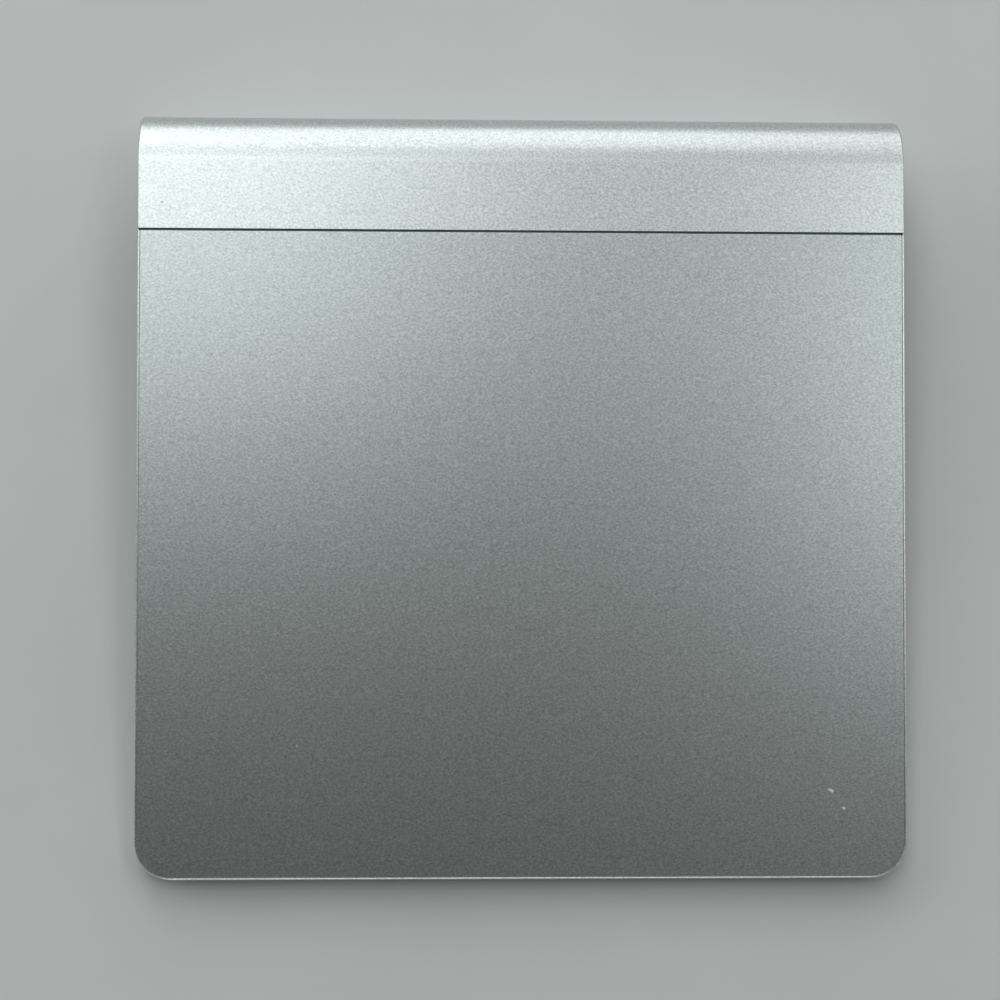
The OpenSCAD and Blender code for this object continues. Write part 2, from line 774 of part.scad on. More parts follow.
// Screw cap of the battery tube: a disc with a coin slot and a hollow threaded barrel
module battery_cap() {
    end = cap_t + seal_w + thread_l - cap_recess;
    color(BLASTED_ALUMINIUM) on_tube(cap_x) {
        difference() {
            rotate_extrude($fn = 128) polygon([
                [0, 0], [cap_r - chamfer, 0], [cap_r, chamfer], [cap_r, cap_t], [cap_core_r, cap_t],
                [cap_core_r, end], [cup_r, end], [cup_r, cap_t], [0, cap_t]
            ]);
            translate([-coin_slot_w / 2, 0, coin_slot_d - coin_slot_r]) rotate([0, 90, 0])
                cylinder(h = coin_slot_w, r = coin_slot_r, $fn = 128);
        }
        translate([0, 0, cap_t + seal_w]) sweep(thread_rings(thread_start, cap_ridge_turns,
            cap_core_r - thread_sink / 2, cap_crest_r, 0, true));
    }
}

// Rubber ring squeezed between the cap's disc and the threaded ring
module cap_seal() {
    inner_r = cap_core_r + slip;
    color(TAPE) on_tube(cap_x + cap_t + seal_w / 2) rotate_extrude()
        translate([inner_r + seal_d / 2, 0]) circle(d = seal_d);
}

// Centre line of the tapered contact spring, along the tube from the cap's cup to the first cell
spring_seat = 0.1;
spring_base_z = cap_t + spring_wire / 2 + spring_seat;
spring_tip_z = cell_x - cap_x - spring_wire / 2 - spring_seat;
spring_base_r = cup_r - spring_wire / 2 - edge_play;
spring_tip_r = 2.2;
spring_steps = 12;
spring_line = [
    for (i = [0:spring_turns * spring_steps]) let(
        share = i / (spring_turns * spring_steps),
        a = 360 * i / spring_steps,
        r = spring_base_r + (spring_tip_r - spring_base_r) * share
    ) [r * cos(a), r * sin(a), spring_base_z + (spring_tip_z - spring_base_z) * share]
];

// Least gap between the spring's wire and its own next turn
spring_gap = min([
    for (i = [0:len(spring_line) - 1], j = [i + spring_steps / 2:1:len(spring_line) - 1])
        norm(spring_line[i] - spring_line[j])
]) - spring_wire;
echo(contact_spring_least_gap = spring_gap);

// Tapered wire spring that presses on the first cell
module cap_spring() {
    sides = 6;
    rings = [
        for (i = [0:len(spring_line) - 1]) let(
            a = 360 * i / spring_steps,
            out = [cos(a), sin(a), 0]
        ) [for (j = [0:sides - 1]) spring_line[i] + spring_wire / 2
            * (cos(360 * j / sides) * out + sin(360 * j / sides) * [0, 0, 1])]
    ];
    color(STEEL) on_tube(cap_x) sweep(rings);
}

// Plug that closes the other end of the tube, bored for the power button
module end_plug() {
    color(BLASTED_ALUMINIUM) on_tube(plug_x) difference() {
        cylinder(h = plug_t, r = mouth_r - slip);
        translate([0, 0, -1]) cylinder(h = plug_t + 2, r = button_r + 2 * slip);
    }
}

// Round power button, with a collar behind the plug and a stem that pushes the switch
module power_button() {
    collar = button_r + button_collar_w;
    top = right_x + button_proud - stem_x;
    color(BLASTED_ALUMINIUM) on_tube(stem_x) rotate_extrude() polygon([
        [0, 0], [stem_r, 0], [stem_r, stem_l], [collar, stem_l], [collar, stem_l + collar_t - slip],
        [button_r, stem_l + collar_t - slip], [button_r, top - chamfer], [button_r - chamfer, top], [0, top]
    ]);
}

// Body of the power switch, standing on its board
module power_switch() {
    body = power_switch_body;
    sunk = power_switch_sunk;
    color(DARK_PLASTIC) on_tube(power_switch_x) difference() {
        translate([-body / 2, -body / 2, 0]) cube([body, body, switch_t]);
        translate([0, 0, switch_t - sunk - button_travel - slip])
            cylinder(h = switch_t, r = power_switch_r + slip);
    }
}

// Button of the power switch
module power_switch_button() {
    sunk = power_switch_sunk;
    color(GREY_PLASTIC) on_tube(power_switch_x + switch_t - sunk)
        cylinder(h = sunk + switch_reach, r = power_switch_r);
}

// Small round board of the power switch
module power_board() {
    color(BOARD_GREEN) on_tube(power_board_x) cylinder(h = power_board_t, r = bore_r - slip);
}

chassis();
touch_plate();
plate_gasket();
touch_sensor();
stiffener_plate();
status_led();
bottom_cover();
cover_adhesive();
main_board();
touch_controller();
radio_chip();
shield_can();
crystal();
power_regulator();
antenna();
sensor_connector();
sensor_flex();
power_flex();
board_screws();
click_bar();
foot_plunger(-1);  // left_foot_plunger
foot_plunger(1);  // right_foot_plunger
foot_pad(-1);  // left_foot_pad
foot_pad(1);  // right_foot_pad
hinge_bracket(-1);  // left_hinge_bracket
hinge_bracket(1);  // right_hinge_bracket
hinge_pin(-1);  // left_hinge_pin
hinge_pin(1);  // right_hinge_pin
click_spring(-1);  // left_click_spring
click_spring(1);  // right_click_spring
click_switch();
click_switch_button();
rear_foot();
battery_sleeve();
left_cell();
right_cell();
positive_contact();
contact_carrier();
thread_ring();
battery_cap();
cap_seal();
cap_spring();
end_plug();
power_button();
power_switch();
power_switch_button();
power_board();
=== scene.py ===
import json
from math import atan2, cos, pi, radians, sin, sqrt, tan

import bmesh
import bpy
from mathutils import Matrix, Vector


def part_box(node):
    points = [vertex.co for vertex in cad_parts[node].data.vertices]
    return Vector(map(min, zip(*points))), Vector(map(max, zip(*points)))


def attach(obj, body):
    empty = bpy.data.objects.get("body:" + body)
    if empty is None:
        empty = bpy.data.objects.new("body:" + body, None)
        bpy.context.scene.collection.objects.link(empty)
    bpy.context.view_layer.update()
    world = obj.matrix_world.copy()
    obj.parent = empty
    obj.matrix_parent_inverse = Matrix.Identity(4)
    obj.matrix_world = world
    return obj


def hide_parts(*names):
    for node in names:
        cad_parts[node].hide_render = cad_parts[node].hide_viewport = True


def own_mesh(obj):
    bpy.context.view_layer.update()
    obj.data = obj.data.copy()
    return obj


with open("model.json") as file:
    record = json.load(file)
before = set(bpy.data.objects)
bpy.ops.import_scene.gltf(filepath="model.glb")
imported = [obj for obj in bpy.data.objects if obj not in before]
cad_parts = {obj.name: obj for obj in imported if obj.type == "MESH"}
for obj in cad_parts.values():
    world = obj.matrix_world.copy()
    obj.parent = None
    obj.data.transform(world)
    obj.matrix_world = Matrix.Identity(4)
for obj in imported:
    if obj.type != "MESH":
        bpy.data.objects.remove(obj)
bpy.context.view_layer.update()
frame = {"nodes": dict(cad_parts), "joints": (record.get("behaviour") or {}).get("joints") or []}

# Camera
# A long lens nearly straight above the pad, a little towards its front left corner, which is how
# the photograph was taken. The lens axis meets the middle of the picture, so there is no shift.
LENS_MM = 92.9
SENSOR_MM = 36
camera_place = (-0.0220, -0.0661, 0.4467)
camera_turn = (8.44, -2.35, -0.21)

scene = bpy.context.scene
camera = bpy.data.objects.new("camera", bpy.data.cameras.new("camera"))
camera.data.lens = LENS_MM
camera.data.sensor_width = SENSOR_MM
camera.location = camera_place
camera.rotation_euler = [radians(angle) for angle in camera_turn]
scene.collection.objects.link(camera)
scene.camera = camera
scene.view_settings.view_transform = "Standard"

# Floor and light
# A plain pale floor in a soft room that is pale at its horizon and dim overhead. Large soft boxes hang
# over and behind the pad, so its satin surfaces are bright at the back and darken to the front.
MM = 0.001
FLOOR_RADIUS = 3.0
FLOOR_SIDES = 96
FLOOR_DROP = 0.00005
FLOOR_DARK = (218, 220, 219)
FLOOR_LIGHT = (224, 226, 225)
FLOOR_PATCH_MM = 60
HAZE_TONE = (204, 206, 205)
HAZE_START = 0.2
HAZE_END = 0.9
DIM_TONE = (58, 51, 47)
PALE_TONE = (193, 193, 192)
LAMP_TINT = (0.95, 1.0, 1.01)
# Each soft box: its name, place, width and length, watts, and whether it is turned to face the pad
SOFT_BOXES = (
    ("left_bank", (-0.235, 0.135, 1.0), (0.43, 0.27), 0.84, False),
    ("left_back", (-0.235, 0.61, 1.0), (0.43, 0.68), 1.38, False),
    ("middle_bank", (0.12, 0.475, 1.0), (0.28, 0.95), 0.36, False),
    ("right_bank", (0.44, 0.01, 1.0), (0.36, 0.26), 0.72, False),
    ("right_back", (0.44, 0.545, 1.0), (0.36, 0.81), 0.91, False),
    ("left_window", (-0.40, 1.05, 0.46), (0.40, 1.03), 2.35, True),
    ("middle_window", (0.0, 1.05, 0.46), (0.40, 1.03), 1.17, True),
    ("right_window", (0.40, 1.05, 0.46), (0.40, 1.03), 0.80, True),
    ("left_side", (-1.0, 0.5, 0.45), (0.80, 0.70), 2.1, True),
    ("right_side", (1.0, 0.1, 0.4), (0.60, 0.70), 0.5, True),
    ("front_side", (0.0, -1.0, 0.2), (0.60, 0.40), 0.9, True),
)


def tone(red, green, blue):
    """A colour as it shows on a screen, 0 to 255, in the linear values that the nodes take."""
    shares = [value / 255 for value in (red, green, blue)]
    return [s / 12.92 if s <= 0.04045 else ((s + 0.055) / 1.055) ** 2.4 for s in shares] + [1]


def add(tree, kind, values=None, **settings):
    """A node with its settings made, and each input set to a value or joined to a socket."""
    node = tree.nodes.new(kind)
    for name, setting in settings.items():
        setattr(node, name, setting)
    for name, value in (values or {}).items():
        if isinstance(value, bpy.types.NodeSocket):
            tree.links.new(value, node.inputs[name])
        else:
            node.inputs[name].default_value = value
    return node


def on_piece(tree):
    """Where each point lies on its piece, in metres."""
    return add(tree, "ShaderNodeTexCoord").outputs["Object"]


def reckon(tree, operation, first, second=0.0):
    """One sum on two numbers or sockets."""
    return add(tree, "ShaderNodeMath", {0: first, 1: second}, operation=operation).outputs[0]


def spread(tree, value, low, high, start=0.3, end=0.7):
    """The value's run from start to end, carried over to a run from low to high."""
    ends = {0: value, 1: start, 2: end, 3: low, 4: high}
    return add(tree, "ShaderNodeMapRange", ends).outputs[0]


def between(tree, share, first, second):
    """A colour that goes from the first to the second as the share goes from 0 to 1."""
    mix = add(tree, "ShaderNodeMix", {0: share, 6: first, 7: second}, data_type="RGBA")
    return mix.outputs[2]


def mottle(tree, size_mm, stretch, turn):
    """Cloudy noise with patches of about this size, fixed to the piece."""
    turned_to = add(tree, "ShaderNodeMapping", {
        "Vector": on_piece(tree),
        "Scale": stretch,
        "Rotation": (0, 0, radians(turn)),
    })
    noise = add(tree, "ShaderNodeTexNoise", {
        "Vector": turned_to.outputs[0],
        "Scale": 1 / (size_mm * MM),
        "Detail": 4.0,
        "Roughness": 0.6,
    })
    return noise.outputs[0]


def grained(name, dark, light, grain_mm, rough, relief_mm, metallic=0.0, stretch=(1, 1, 1), turn=0):
    """A finish that wanders between two tones and two roughnesses, with a fine relief of that grain."""
    finish = bpy.data.materials.new(name)
    finish.use_nodes = True
    tree = finish.node_tree
    shader = tree.nodes["Principled BSDF"].inputs
    shader["Metallic"].default_value = metallic
    grain = mottle(tree, grain_mm, stretch, turn)
    colour = between(tree, spread(tree, grain, 0, 1), tone(*dark), tone(*light))
    tree.links.new(colour, shader["Base Color"])
    tree.links.new(spread(tree, grain, *rough), shader["Roughness"])
    bump = add(tree, "ShaderNodeBump", {"Height": grain, "Distance": relief_mm * MM, "Strength": 0.5})
    tree.links.new(bump.outputs[0], shader["Normal"])
    return finish


def pale_floor():
    """A matt floor that melts into an even haze away from the pad, and is open when seen from below."""
    finish = grained(
        "pale_floor", dark=FLOOR_DARK, light=FLOOR_LIGHT, grain_mm=FLOOR_PATCH_MM,
        rough=(0.75, 0.85), relief_mm=0.0,
    )
    tree = finish.node_tree
    away = add(tree, "ShaderNodeVectorMath", {0: on_piece(tree)}, operation="LENGTH").outputs["Value"]
    path = add(tree, "ShaderNodeLightPath").outputs
    mirrored = reckon(tree, "MAXIMUM", path["Is Glossy Ray"], path["Is Transmission Ray"])
    seen = reckon(tree, "MAXIMUM", path["Is Camera Ray"], mirrored)
    share = reckon(tree, "MULTIPLY", seen, spread(tree, away, 0, 1, HAZE_START, HAZE_END))
    matt = tree.nodes["Principled BSDF"].outputs[0]
    haze = add(tree, "ShaderNodeEmission", {"Color": tone(*HAZE_TONE)}).outputs[0]
    ground = add(tree, "ShaderNodeMixShader", {0: share, 1: matt, 2: haze}).outputs[0]
    below = add(tree, "ShaderNodeNewGeometry").outputs["Backfacing"]
    clear = add(tree, "ShaderNodeBsdfTransparent").outputs[0]
    whole = add(tree, "ShaderNodeMixShader", {0: below, 1: ground, 2: clear}).outputs[0]
    tree.links.new(whole, tree.nodes["Material Output"].inputs["Surface"])
    return finish


floor_mesh = bpy.data.meshes.new("floor")
floor_shape = bmesh.new()
bmesh.ops.create_circle(floor_shape, cap_ends=True, segments=FLOOR_SIDES, radius=FLOOR_RADIUS)
bmesh.ops.translate(floor_shape, verts=floor_shape.verts, vec=(0, 0, -FLOOR_DROP))
floor_shape.to_mesh(floor_mesh)
floor_shape.free()
floor = bpy.data.objects.new("floor", floor_mesh)
floor.data.materials.append(pale_floor())
scene.collection.objects.link(floor)

room = bpy.data.worlds.new("room")
scene.world = room
room.use_nodes = True
air = room.node_tree
outward = add(air, "ShaderNodeTexCoord").outputs["Generated"]
way = add(air, "ShaderNodeSeparateXYZ", {0: outward}).outputs
low_down = spread(air, way["Z"], 1, 0, start=0.35, end=0.9)
behind = spread(air, way["Y"], 0.05, 1, start=-0.4, end=0.5)
pale = reckon(air, "MULTIPLY", low_down, behind)
glow = between(air, pale, tone(*DIM_TONE), tone(*PALE_TONE))
near_floor = spread(air, way["Z"], 1, 0, start=0.04, end=0.3)
air_tone = between(air, near_floor, glow, tone(*HAZE_TONE))
air.links.new(air_tone, air.nodes["Background"].inputs["Color"])

for box_name, place, size, watts, aimed in SOFT_BOXES:
    lamp = bpy.data.lights.new(box_name, "AREA")
    lamp.shape = "RECTANGLE"
    lamp.size, lamp.size_y = size
    lamp.energy = watts
    lamp.color = LAMP_TINT
    soft_box = bpy.data.objects.new(box_name, lamp)
    soft_box.location = place
    if aimed:
        soft_box.rotation_euler = (-Vector(place)).to_track_quat("-Z", "Y").to_euler()
    soft_box.visible_camera = False
    scene.collection.objects.link(soft_box)

# Tray and battery tube
# The main piece: one aluminium tray whose back edge swells into a tube for the cells. It is machined
# from an extruded bar, bead blasted and clear anodised, with every outer edge rounded over.
body_l = 130.9
body_w = 131.3
corner_r = 6.3
least_corner_r = 1.0
tube_r = 8.8
bore_r = 7.65
mouth_r = 8.05
mouth_break = 0.15
cove_r = 5.0
# The rounding of its edges
front_r = 0.3
edge_r = 0.15
tube_edge_r = 0.4
belly_r = 1.0
edge_power = 1.6
# What it holds, from the plate down to the cover
plate_t = 0.9
gasket_t = 0.15
sensor_t = 0.6
cavity_h = 2.1
cover_t = 0.8
# The rim round the plate, the strip and the seam behind it, and the ledges under plate and cover
rim_w = 0.35
rim_break = 0.03
strip_l = 20.4
seam_w = 0.4
seam_notch = 0.5
seam_skim = 0.01
ledge_w = 3.0
lip_w = 1.2
bond_w = 2.2
# How far a cutter goes past the face that it cuts, and the steps of the round forms
cut_past = 1.0
same_place = 1e-7
corner_steps = 16
back_corner_steps = 4
tube_steps = 96
tube_edge_steps = 24
edge_steps = 5

half_w = body_w / 2
tube_u = body_l - tube_r
seam_u = body_l - strip_l
recess_n = plate_t + gasket_t
inner_n = plate_t + sensor_t + cavity_h
slab_t = inner_n + cover_t
cove_u = tube_u - sqrt((tube_r + cove_r) ** 2 - (slab_t + cove_r - tube_r) ** 2)
cover_u1 = cove_u - lip_w
window_in = rim_w + ledge_w
window_u1 = cover_u1 - bond_w

joints = {joint["name"]: joint for joint in frame["joints"]}
across = Vector((1, 0, 0))
up = Vector(joints["click_switch_press"]["axis"]).normalized()
along = up.cross(across)
tube_line = Vector(joints["cap_turn"]["pos_m"])


def set_down(x, u, n):
    """A point of the body, in millimetres across it, along its top from the front and up from its top."""
    return tube_line + MM * (across * x + along * (u - tube_u) + up * (n + tube_r))


def measured(node):
    """The lowest and highest corners of a plain solid in the body's own axes, in millimetres."""
    points = [(corner.co - tube_line) / MM for corner in frame["nodes"][node].data.vertices]
    sides = [[p.dot(side) for p in points] for side in (across, along, up)]
    base = Vector((0, tube_u, -tube_r))
    return base + Vector([min(side) for side in sides]), base + Vector([max(side) for side in sides])


def arc(centre, r, start, end, steps):
    """Points on a round stretch of an outline, with its angles in degrees."""
    angles = [radians(start + (end - start) * i / steps) for i in range(steps + 1)]
    return [(centre[0] + r * cos(a), centre[1] + r * sin(a)) for a in angles]


def plan(inset, u1, back_r=0.3):
    """The tray's outline from above, drawn in by the same distance on its sides and its front."""
    w = half_w - inset
    r = max(corner_r - inset, least_corner_r)
    outline = arc((w - r, inset + r), r, -90, 0, corner_steps)
    outline += arc((w - back_r, u1 - back_r), back_r, 0, 90, back_corner_steps)
    outline += arc((back_r - w, u1 - back_r), back_r, 90, 180, back_corner_steps)
    return outline + arc((r - w, inset + r), r, 180, 270, corner_steps)


def skin(shape, rings, looped=False):
    """Faces between rings of as many points, with the first and last ring closed, or joined up."""
    rows = [[shape.verts.new(point) for point in ring] for ring in rings]
    for lower, upper in zip(rows, rows[1:] + rows[:1] if looped else rows[1:]):
        for i in range(len(lower)):
            j = (i + 1) % len(lower)
            shape.faces.new((lower[i], lower[j], upper[j], upper[i]))
    if not looped:
        shape.faces.new(rows[0][::-1])
        shape.faces.new(rows[-1])
    return shape


def layered(shape, levels, looped=False):
    """A flat piece of the tray's outline, from levels of inset, back end and height."""
    rings = [[set_down(x, u, n) for x, u in plan(inset, u1)] for inset, u1, n in levels]
    return skin(shape, rings, looped)


def turned(shape, profile, u=tube_u, n=-tube_r, steps=96, looped=False):
    """A round piece that lies across the body, from a profile of places across it and radii."""
    turns = [2 * pi * i / steps for i in range(steps)]
    rings = [[set_down(x, u + r * sin(t), n + r * cos(t)) for t in turns] for x, r in profile]
    return skin(shape, rings, looped)


def block(shape, low, high):
    """A box between two corners in the body's own axes."""
    corners = ((low[0], low[1]), (high[0], low[1]), (high[0], high[1]), (low[0], high[1]))
    return skin(shape, [[set_down(x, u, n) for x, u in corners] for n in (low[2], high[2])])


def post(shape, x, u, levels, steps=48):
    """A round piece that stands along the body's normal, from levels of radius and height."""
    turns = [2 * pi * i / steps for i in range(steps)]
    return skin(shape, [[set_down(x + r * cos(t), u + r * sin(t), n) for t in turns] for r, n in levels])


def crisp_edges(mesh, angle=28):
    """Smooth faces, with every edge that turns by more than the angle kept sharp."""
    shape = bmesh.new()
    shape.from_mesh(mesh)
    bmesh.ops.remove_doubles(shape, verts=shape.verts, dist=same_place)
    for face in shape.faces:
        face.smooth = True
    for edge in shape.edges:
        edge.smooth = len(edge.link_faces) == 2 and edge.calc_face_angle() < radians(angle)
    shape.to_mesh(mesh)
    shape.free()


def made_piece(name, shape, finish=None):
    """An object made of the shape, with its normals turned out."""
    bmesh.ops.remove_doubles(shape, verts=shape.verts, dist=same_place)
    bmesh.ops.recalc_face_normals(shape, faces=shape.faces)
    mesh = bpy.data.meshes.new(name)
    shape.to_mesh(mesh)
    shape.free()
    crisp_edges(mesh)
    if finish:
        mesh.materials.append(finish)
    piece = bpy.data.objects.new(name, mesh)
    scene.collection.objects.link(piece)
    return piece


def plain_mesh(piece):
    """Leaves the piece with the mesh that its modifiers make, and without them."""
    bpy.context.view_layer.update()
    finished = piece.evaluated_get(bpy.context.evaluated_depsgraph_get())
    piece.data = bpy.data.meshes.new_from_object(finished)
    piece.modifiers.clear()
    piece.data.name = piece.name


def cut(piece, *cutters):
    """Takes each cutter's shape out of the piece, and leaves a plain mesh."""
    tools = [made_piece("cutter", shape) for shape in cutters]
    for tool in tools:
        modifier = piece.modifiers.new("cut", "BOOLEAN")
        modifier.operation = "DIFFERENCE"
        modifier.solver = "EXACT"
        modifier.object = tool
    plain_mesh(piece)
    for tool in tools:
        bpy.data.objects.remove(tool)
    crisp_edges(piece.data)
    return piece


def even_shading(piece):
    """Shades flat faces flat beside their small rounded edges."""
    piece.modifiers.new("even_shading", "WEIGHTED_NORMAL").keep_sharp = True
    return piece


def show(piece, body, slot, *nodes):
    """Lets the piece ride on its body, in place of its plain solids. The slot is not used."""
    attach(piece, body)
    if nodes:
        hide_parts(*nodes)
    return piece


def end_edge():
    """The sharp edge round the right end: place, surface normal, wall normal and rounding at each step."""
    side = Vector((1, 0, 0))
    tube_middle = Vector((half_w, tube_u, -tube_r))
    cove_middle = Vector((half_w, cove_u, -slab_t - cove_r))
    meeting = atan2(tube_middle.z - cove_middle.z, tube_middle.y - cove_middle.y)

    def round_corner(n, normal, first_r, last_r):
        """The steps round the front corner, at the top or at the bottom of the tray."""
        middle = Vector((half_w - corner_r, corner_r, n))
        steps = []
        for i in range(corner_steps + 1):
            a = radians(-90 + 90 * i / corner_steps)
            wall = Vector((cos(a), sin(a), 0))
            r = first_r + (last_r - first_r) * i / corner_steps
            steps.append((middle + corner_r * wall, normal, wall, r))
        return steps

    steps = round_corner(0, Vector((0, 0, 1)), front_r, edge_r)
    for i in range(tube_steps + 1):
        a = pi / 2 - (3 * pi / 2 - meeting) * i / tube_steps
        normal = Vector((0, cos(a), sin(a)))
        r = edge_r + (tube_edge_r - edge_r) * min(i / tube_edge_steps, 1)
        steps.append((tube_middle + tube_r * normal, normal, side, r))
    for i in range(1, corner_steps + 1):
        a = meeting + (pi / 2 - meeting) * i / corner_steps
        normal = -Vector((0, cos(a), sin(a)))
        r = tube_edge_r + (belly_r - tube_edge_r) * i / corner_steps
        steps.append((cove_middle - cove_r * normal, normal, side, r))
    return steps + round_corner(-slab_t, Vector((0, 0, -1)), belly_r, belly_r)[::-1]


def chassis_blank():
    """The tray and tube before anything is cut from them, with every outer edge rounded."""
    shape = bmesh.new()
    turns = [radians(90 * i / edge_steps) for i in range(edge_steps + 1)]
    right = []
    left = []
    for place, normal, wall, r in end_edge():
        inside = place - r * (normal + wall)
        points = [
            inside + r * (cos(t) ** edge_power * normal + sin(t) ** edge_power * wall) for t in turns
        ]
        right.append([shape.verts.new(set_down(*p)) for p in points])
        left.append([shape.verts.new(set_down(-p.x, p.y, p.z)) for p in points])
    last = len(right) - 1
    flat = corner_steps + 1
    for j in range(last):
        if flat <= j < last - flat:
            shape.faces.new((right[j][0], right[j + 1][0], left[j + 1][0], left[j][0]))
        for k in range(edge_steps):
            for row in (right, left):
                shape.faces.new((row[j][k], row[j + 1][k], row[j + 1][k + 1], row[j][k + 1]))
    for k in range(edge_steps):
        for j in (0, last):
            shape.faces.new((right[j][k], left[j][k], left[j][k + 1], right[j][k + 1]))
    for ring in (range(flat + 1), range(last - flat, last + 1)):
        shape.faces.new([right[j][0] for j in ring] + [left[j][0] for j in reversed(ring)])
    shape.faces.new((right[0][-1], left[0][-1], left[last][-1], right[last][-1]))
    for row in (right, left):
        wall = [points[-1] for points in row]
        for j in range(corner_steps):
            shape.faces.new((wall[j], wall[j + 1], wall[last - j - 1], wall[last - j]))
        shape.faces.new(wall[corner_steps:last - corner_steps + 1])
    return shape


def speck(tree, x, u, r_mm, n=0.0, blur=0.4):
    """A small round mark on the piece: 1 inside it, 0 outside."""
    ends = {0: on_piece(tree), 1: set_down(x, u, n)}
    away = add(tree, "ShaderNodeVectorMath", ends, operation="DISTANCE").outputs["Value"]
    r = r_mm * MM
    return spread(tree, away, 1, 0, start=(1 - blur) * r, end=(1 + blur) * r)


def mark(finish, share, colour):
    """Lays another colour over a finish where the share is 1."""
    tree = finish.node_tree
    socket = tree.nodes["Principled BSDF"].inputs["Base Color"]
    tree.links.new(between(tree, share, socket.links[0].from_socket, tone(*colour)), socket)


blasted_aluminium = grained(
    "blasted_aluminium", dark=(180, 187, 186), light=(234, 239, 238), grain_mm=0.4,
    rough=(0.28, 0.31), relief_mm=0.0015, metallic=1.0, stretch=(1, 1.2, 1), turn=20,
)
nick_x = -61.5
nick_u = 114.9
nick_r = 0.22
nick_tone = (160, 166, 165)
mark(blasted_aluminium, speck(blasted_aluminium.node_tree, nick_x, nick_u, nick_r), nick_tone)

# The recess for the plate, the window through its floor, and the bed of the bottom cover
window_top = 0.5
rim_flare = 2 * rim_break
recess = layered(bmesh.new(), [
    (rim_w, seam_u, -recess_n),
    (rim_w, seam_u, -rim_break),
    (rim_w - rim_flare, seam_u + rim_flare, rim_break),
    (rim_w - rim_flare, seam_u + rim_flare, cut_past),
])
window = layered(bmesh.new(), [
    (window_in, window_u1, -slab_t - cut_past),
    (window_in, window_u1, -window_top),
])
cover_bed = layered(bmesh.new(), [
    (lip_w, cover_u1, -slab_t - cut_past),
    (lip_w, cover_u1, -inner_n),
])

# The bore of the tube, wider at both mouths, and the open ends of the seam behind the plate
mouth = half_w - mouth_break
mouth_x = measured("battery_sleeve")[0].x
plug_x = measured("end_plug")[0].x
bore = turned(bmesh.new(), [
    (-mouth - cut_past, mouth_r + cut_past),
    (-mouth, mouth_r),
    (mouth_x, mouth_r),
    (mouth_x, bore_r),
    (plug_x, bore_r),
    (plug_x, mouth_r),
    (mouth, mouth_r),
    (mouth + cut_past, mouth_r + cut_past),
])
seam_ends = block(
    bmesh.new(),
    (-half_w - cut_past, seam_u - seam_w, -seam_notch),
    (half_w + cut_past, seam_u - seam_skim, cut_past),
)

# The pocket for the board, the slot for its cable and the holes for its screws
pocket_play = 0.3
pocket_sink = 0.05
screw_r = 0.6
screw_play = 0.025
screw_edge = 5.0
screw_back = 1.5
screw_bite = 0.85
screw_hole_start = 0.5
screw_hole_steps = 24
board_low, board_high = measured("main_board")
flex_low, flex_high = measured("power_flex")
flex_play = Vector((pocket_play, pocket_play, pocket_play))
board_pocket = block(
    bmesh.new(),
    (board_low.x - pocket_play, window_u1 - cut_past, -inner_n - pocket_sink),
    (board_high.x + pocket_play, board_high.y + pocket_play, board_high.z),
)
flex_slot = block(bmesh.new(), flex_low - flex_play, flex_high + flex_play)
screw_xs = (
    board_low.x + screw_edge,
    (board_low.x + board_high.x) / 2,
    flex_low.x - screw_edge,
)
screw_u = board_high.y - screw_back
screw_hole_levels = [
    (screw_r + screw_play, board_high.z - screw_hole_start),
    (screw_r + screw_play, board_high.z + screw_bite),
]
screw_holes = bmesh.new()
for x in screw_xs:
    post(screw_holes, x, screw_u, screw_hole_levels, screw_hole_steps)

# The groove for the rear foot, level with the table
groove_play = Vector((0.05, 0.05, 0.0)) * MM
groove_low = Vector(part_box("rear_foot")[0]) - groove_play
groove_high = Vector(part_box("rear_foot")[1]) + groove_play
groove_corners = [
    (groove_low.x, groove_low.y),
    (groove_high.x, groove_low.y),
    (groove_high.x, groove_high.y),
    (groove_low.x, groove_high.y),
]
groove_levels = (-cut_past * MM, groove_high.z)
foot_groove = skin(bmesh.new(), [[Vector((x, y, z)) for x, y in groove_corners] for z in groove_levels])

chassis = made_piece("tray_and_tube", chassis_blank(), blasted_aluminium)
cut(chassis, recess, window, cover_bed, bore, seam_ends, board_pocket, flex_slot, screw_holes, foot_groove)
show(even_shading(chassis), "base", "aluminium", "chassis")

# Touch plate
# What the fingers touch: a sheet of glass, etched to a satin face and coated silver on its back.
# It is cut and ground to the tray's outline, and bonded down on the ledge inside the rim.
plate_gap = 0.02
plate_shift = 0.01
plate_round = 0.12
plate_shine = 0.9
rounding_steps = 4
chip_tone = (250, 252, 250)
# Each worn chip: its place across and along the plate, and its radius
wear_chips = (
    (52.8, 14.78, 0.26),
    (52.45, 15.0, 0.2),
    (52.15, 15.12, 0.12),
    (54.85, 11.85, 0.23),
    (54.55, 12.0, 0.11),
    (13.8, 31.5, 0.12),
    (-38.3, 22.6, 0.16),
)
plate_in = rim_w + plate_gap
plate_back = seam_u - seam_w

satin_glass = grained(
    "satin_glass", dark=(165, 173, 172), light=(219, 225, 224), grain_mm=0.4,
    rough=(0.285, 0.31), relief_mm=0.0015, metallic=plate_shine, stretch=(1, 1.4, 1), turn=-30,
)
glass_tree = satin_glass.node_tree
chipped = 0.0
for x, u, r in wear_chips:
    chip = speck(glass_tree, x, u, r)
    mark(satin_glass, chip, chip_tone)
    chipped = reckon(glass_tree, "MAXIMUM", chip, chipped)
silver = spread(glass_tree, chipped, plate_shine, 0, start=0, end=1)
glass_tree.links.new(silver, glass_tree.nodes["Principled BSDF"].inputs["Metallic"])

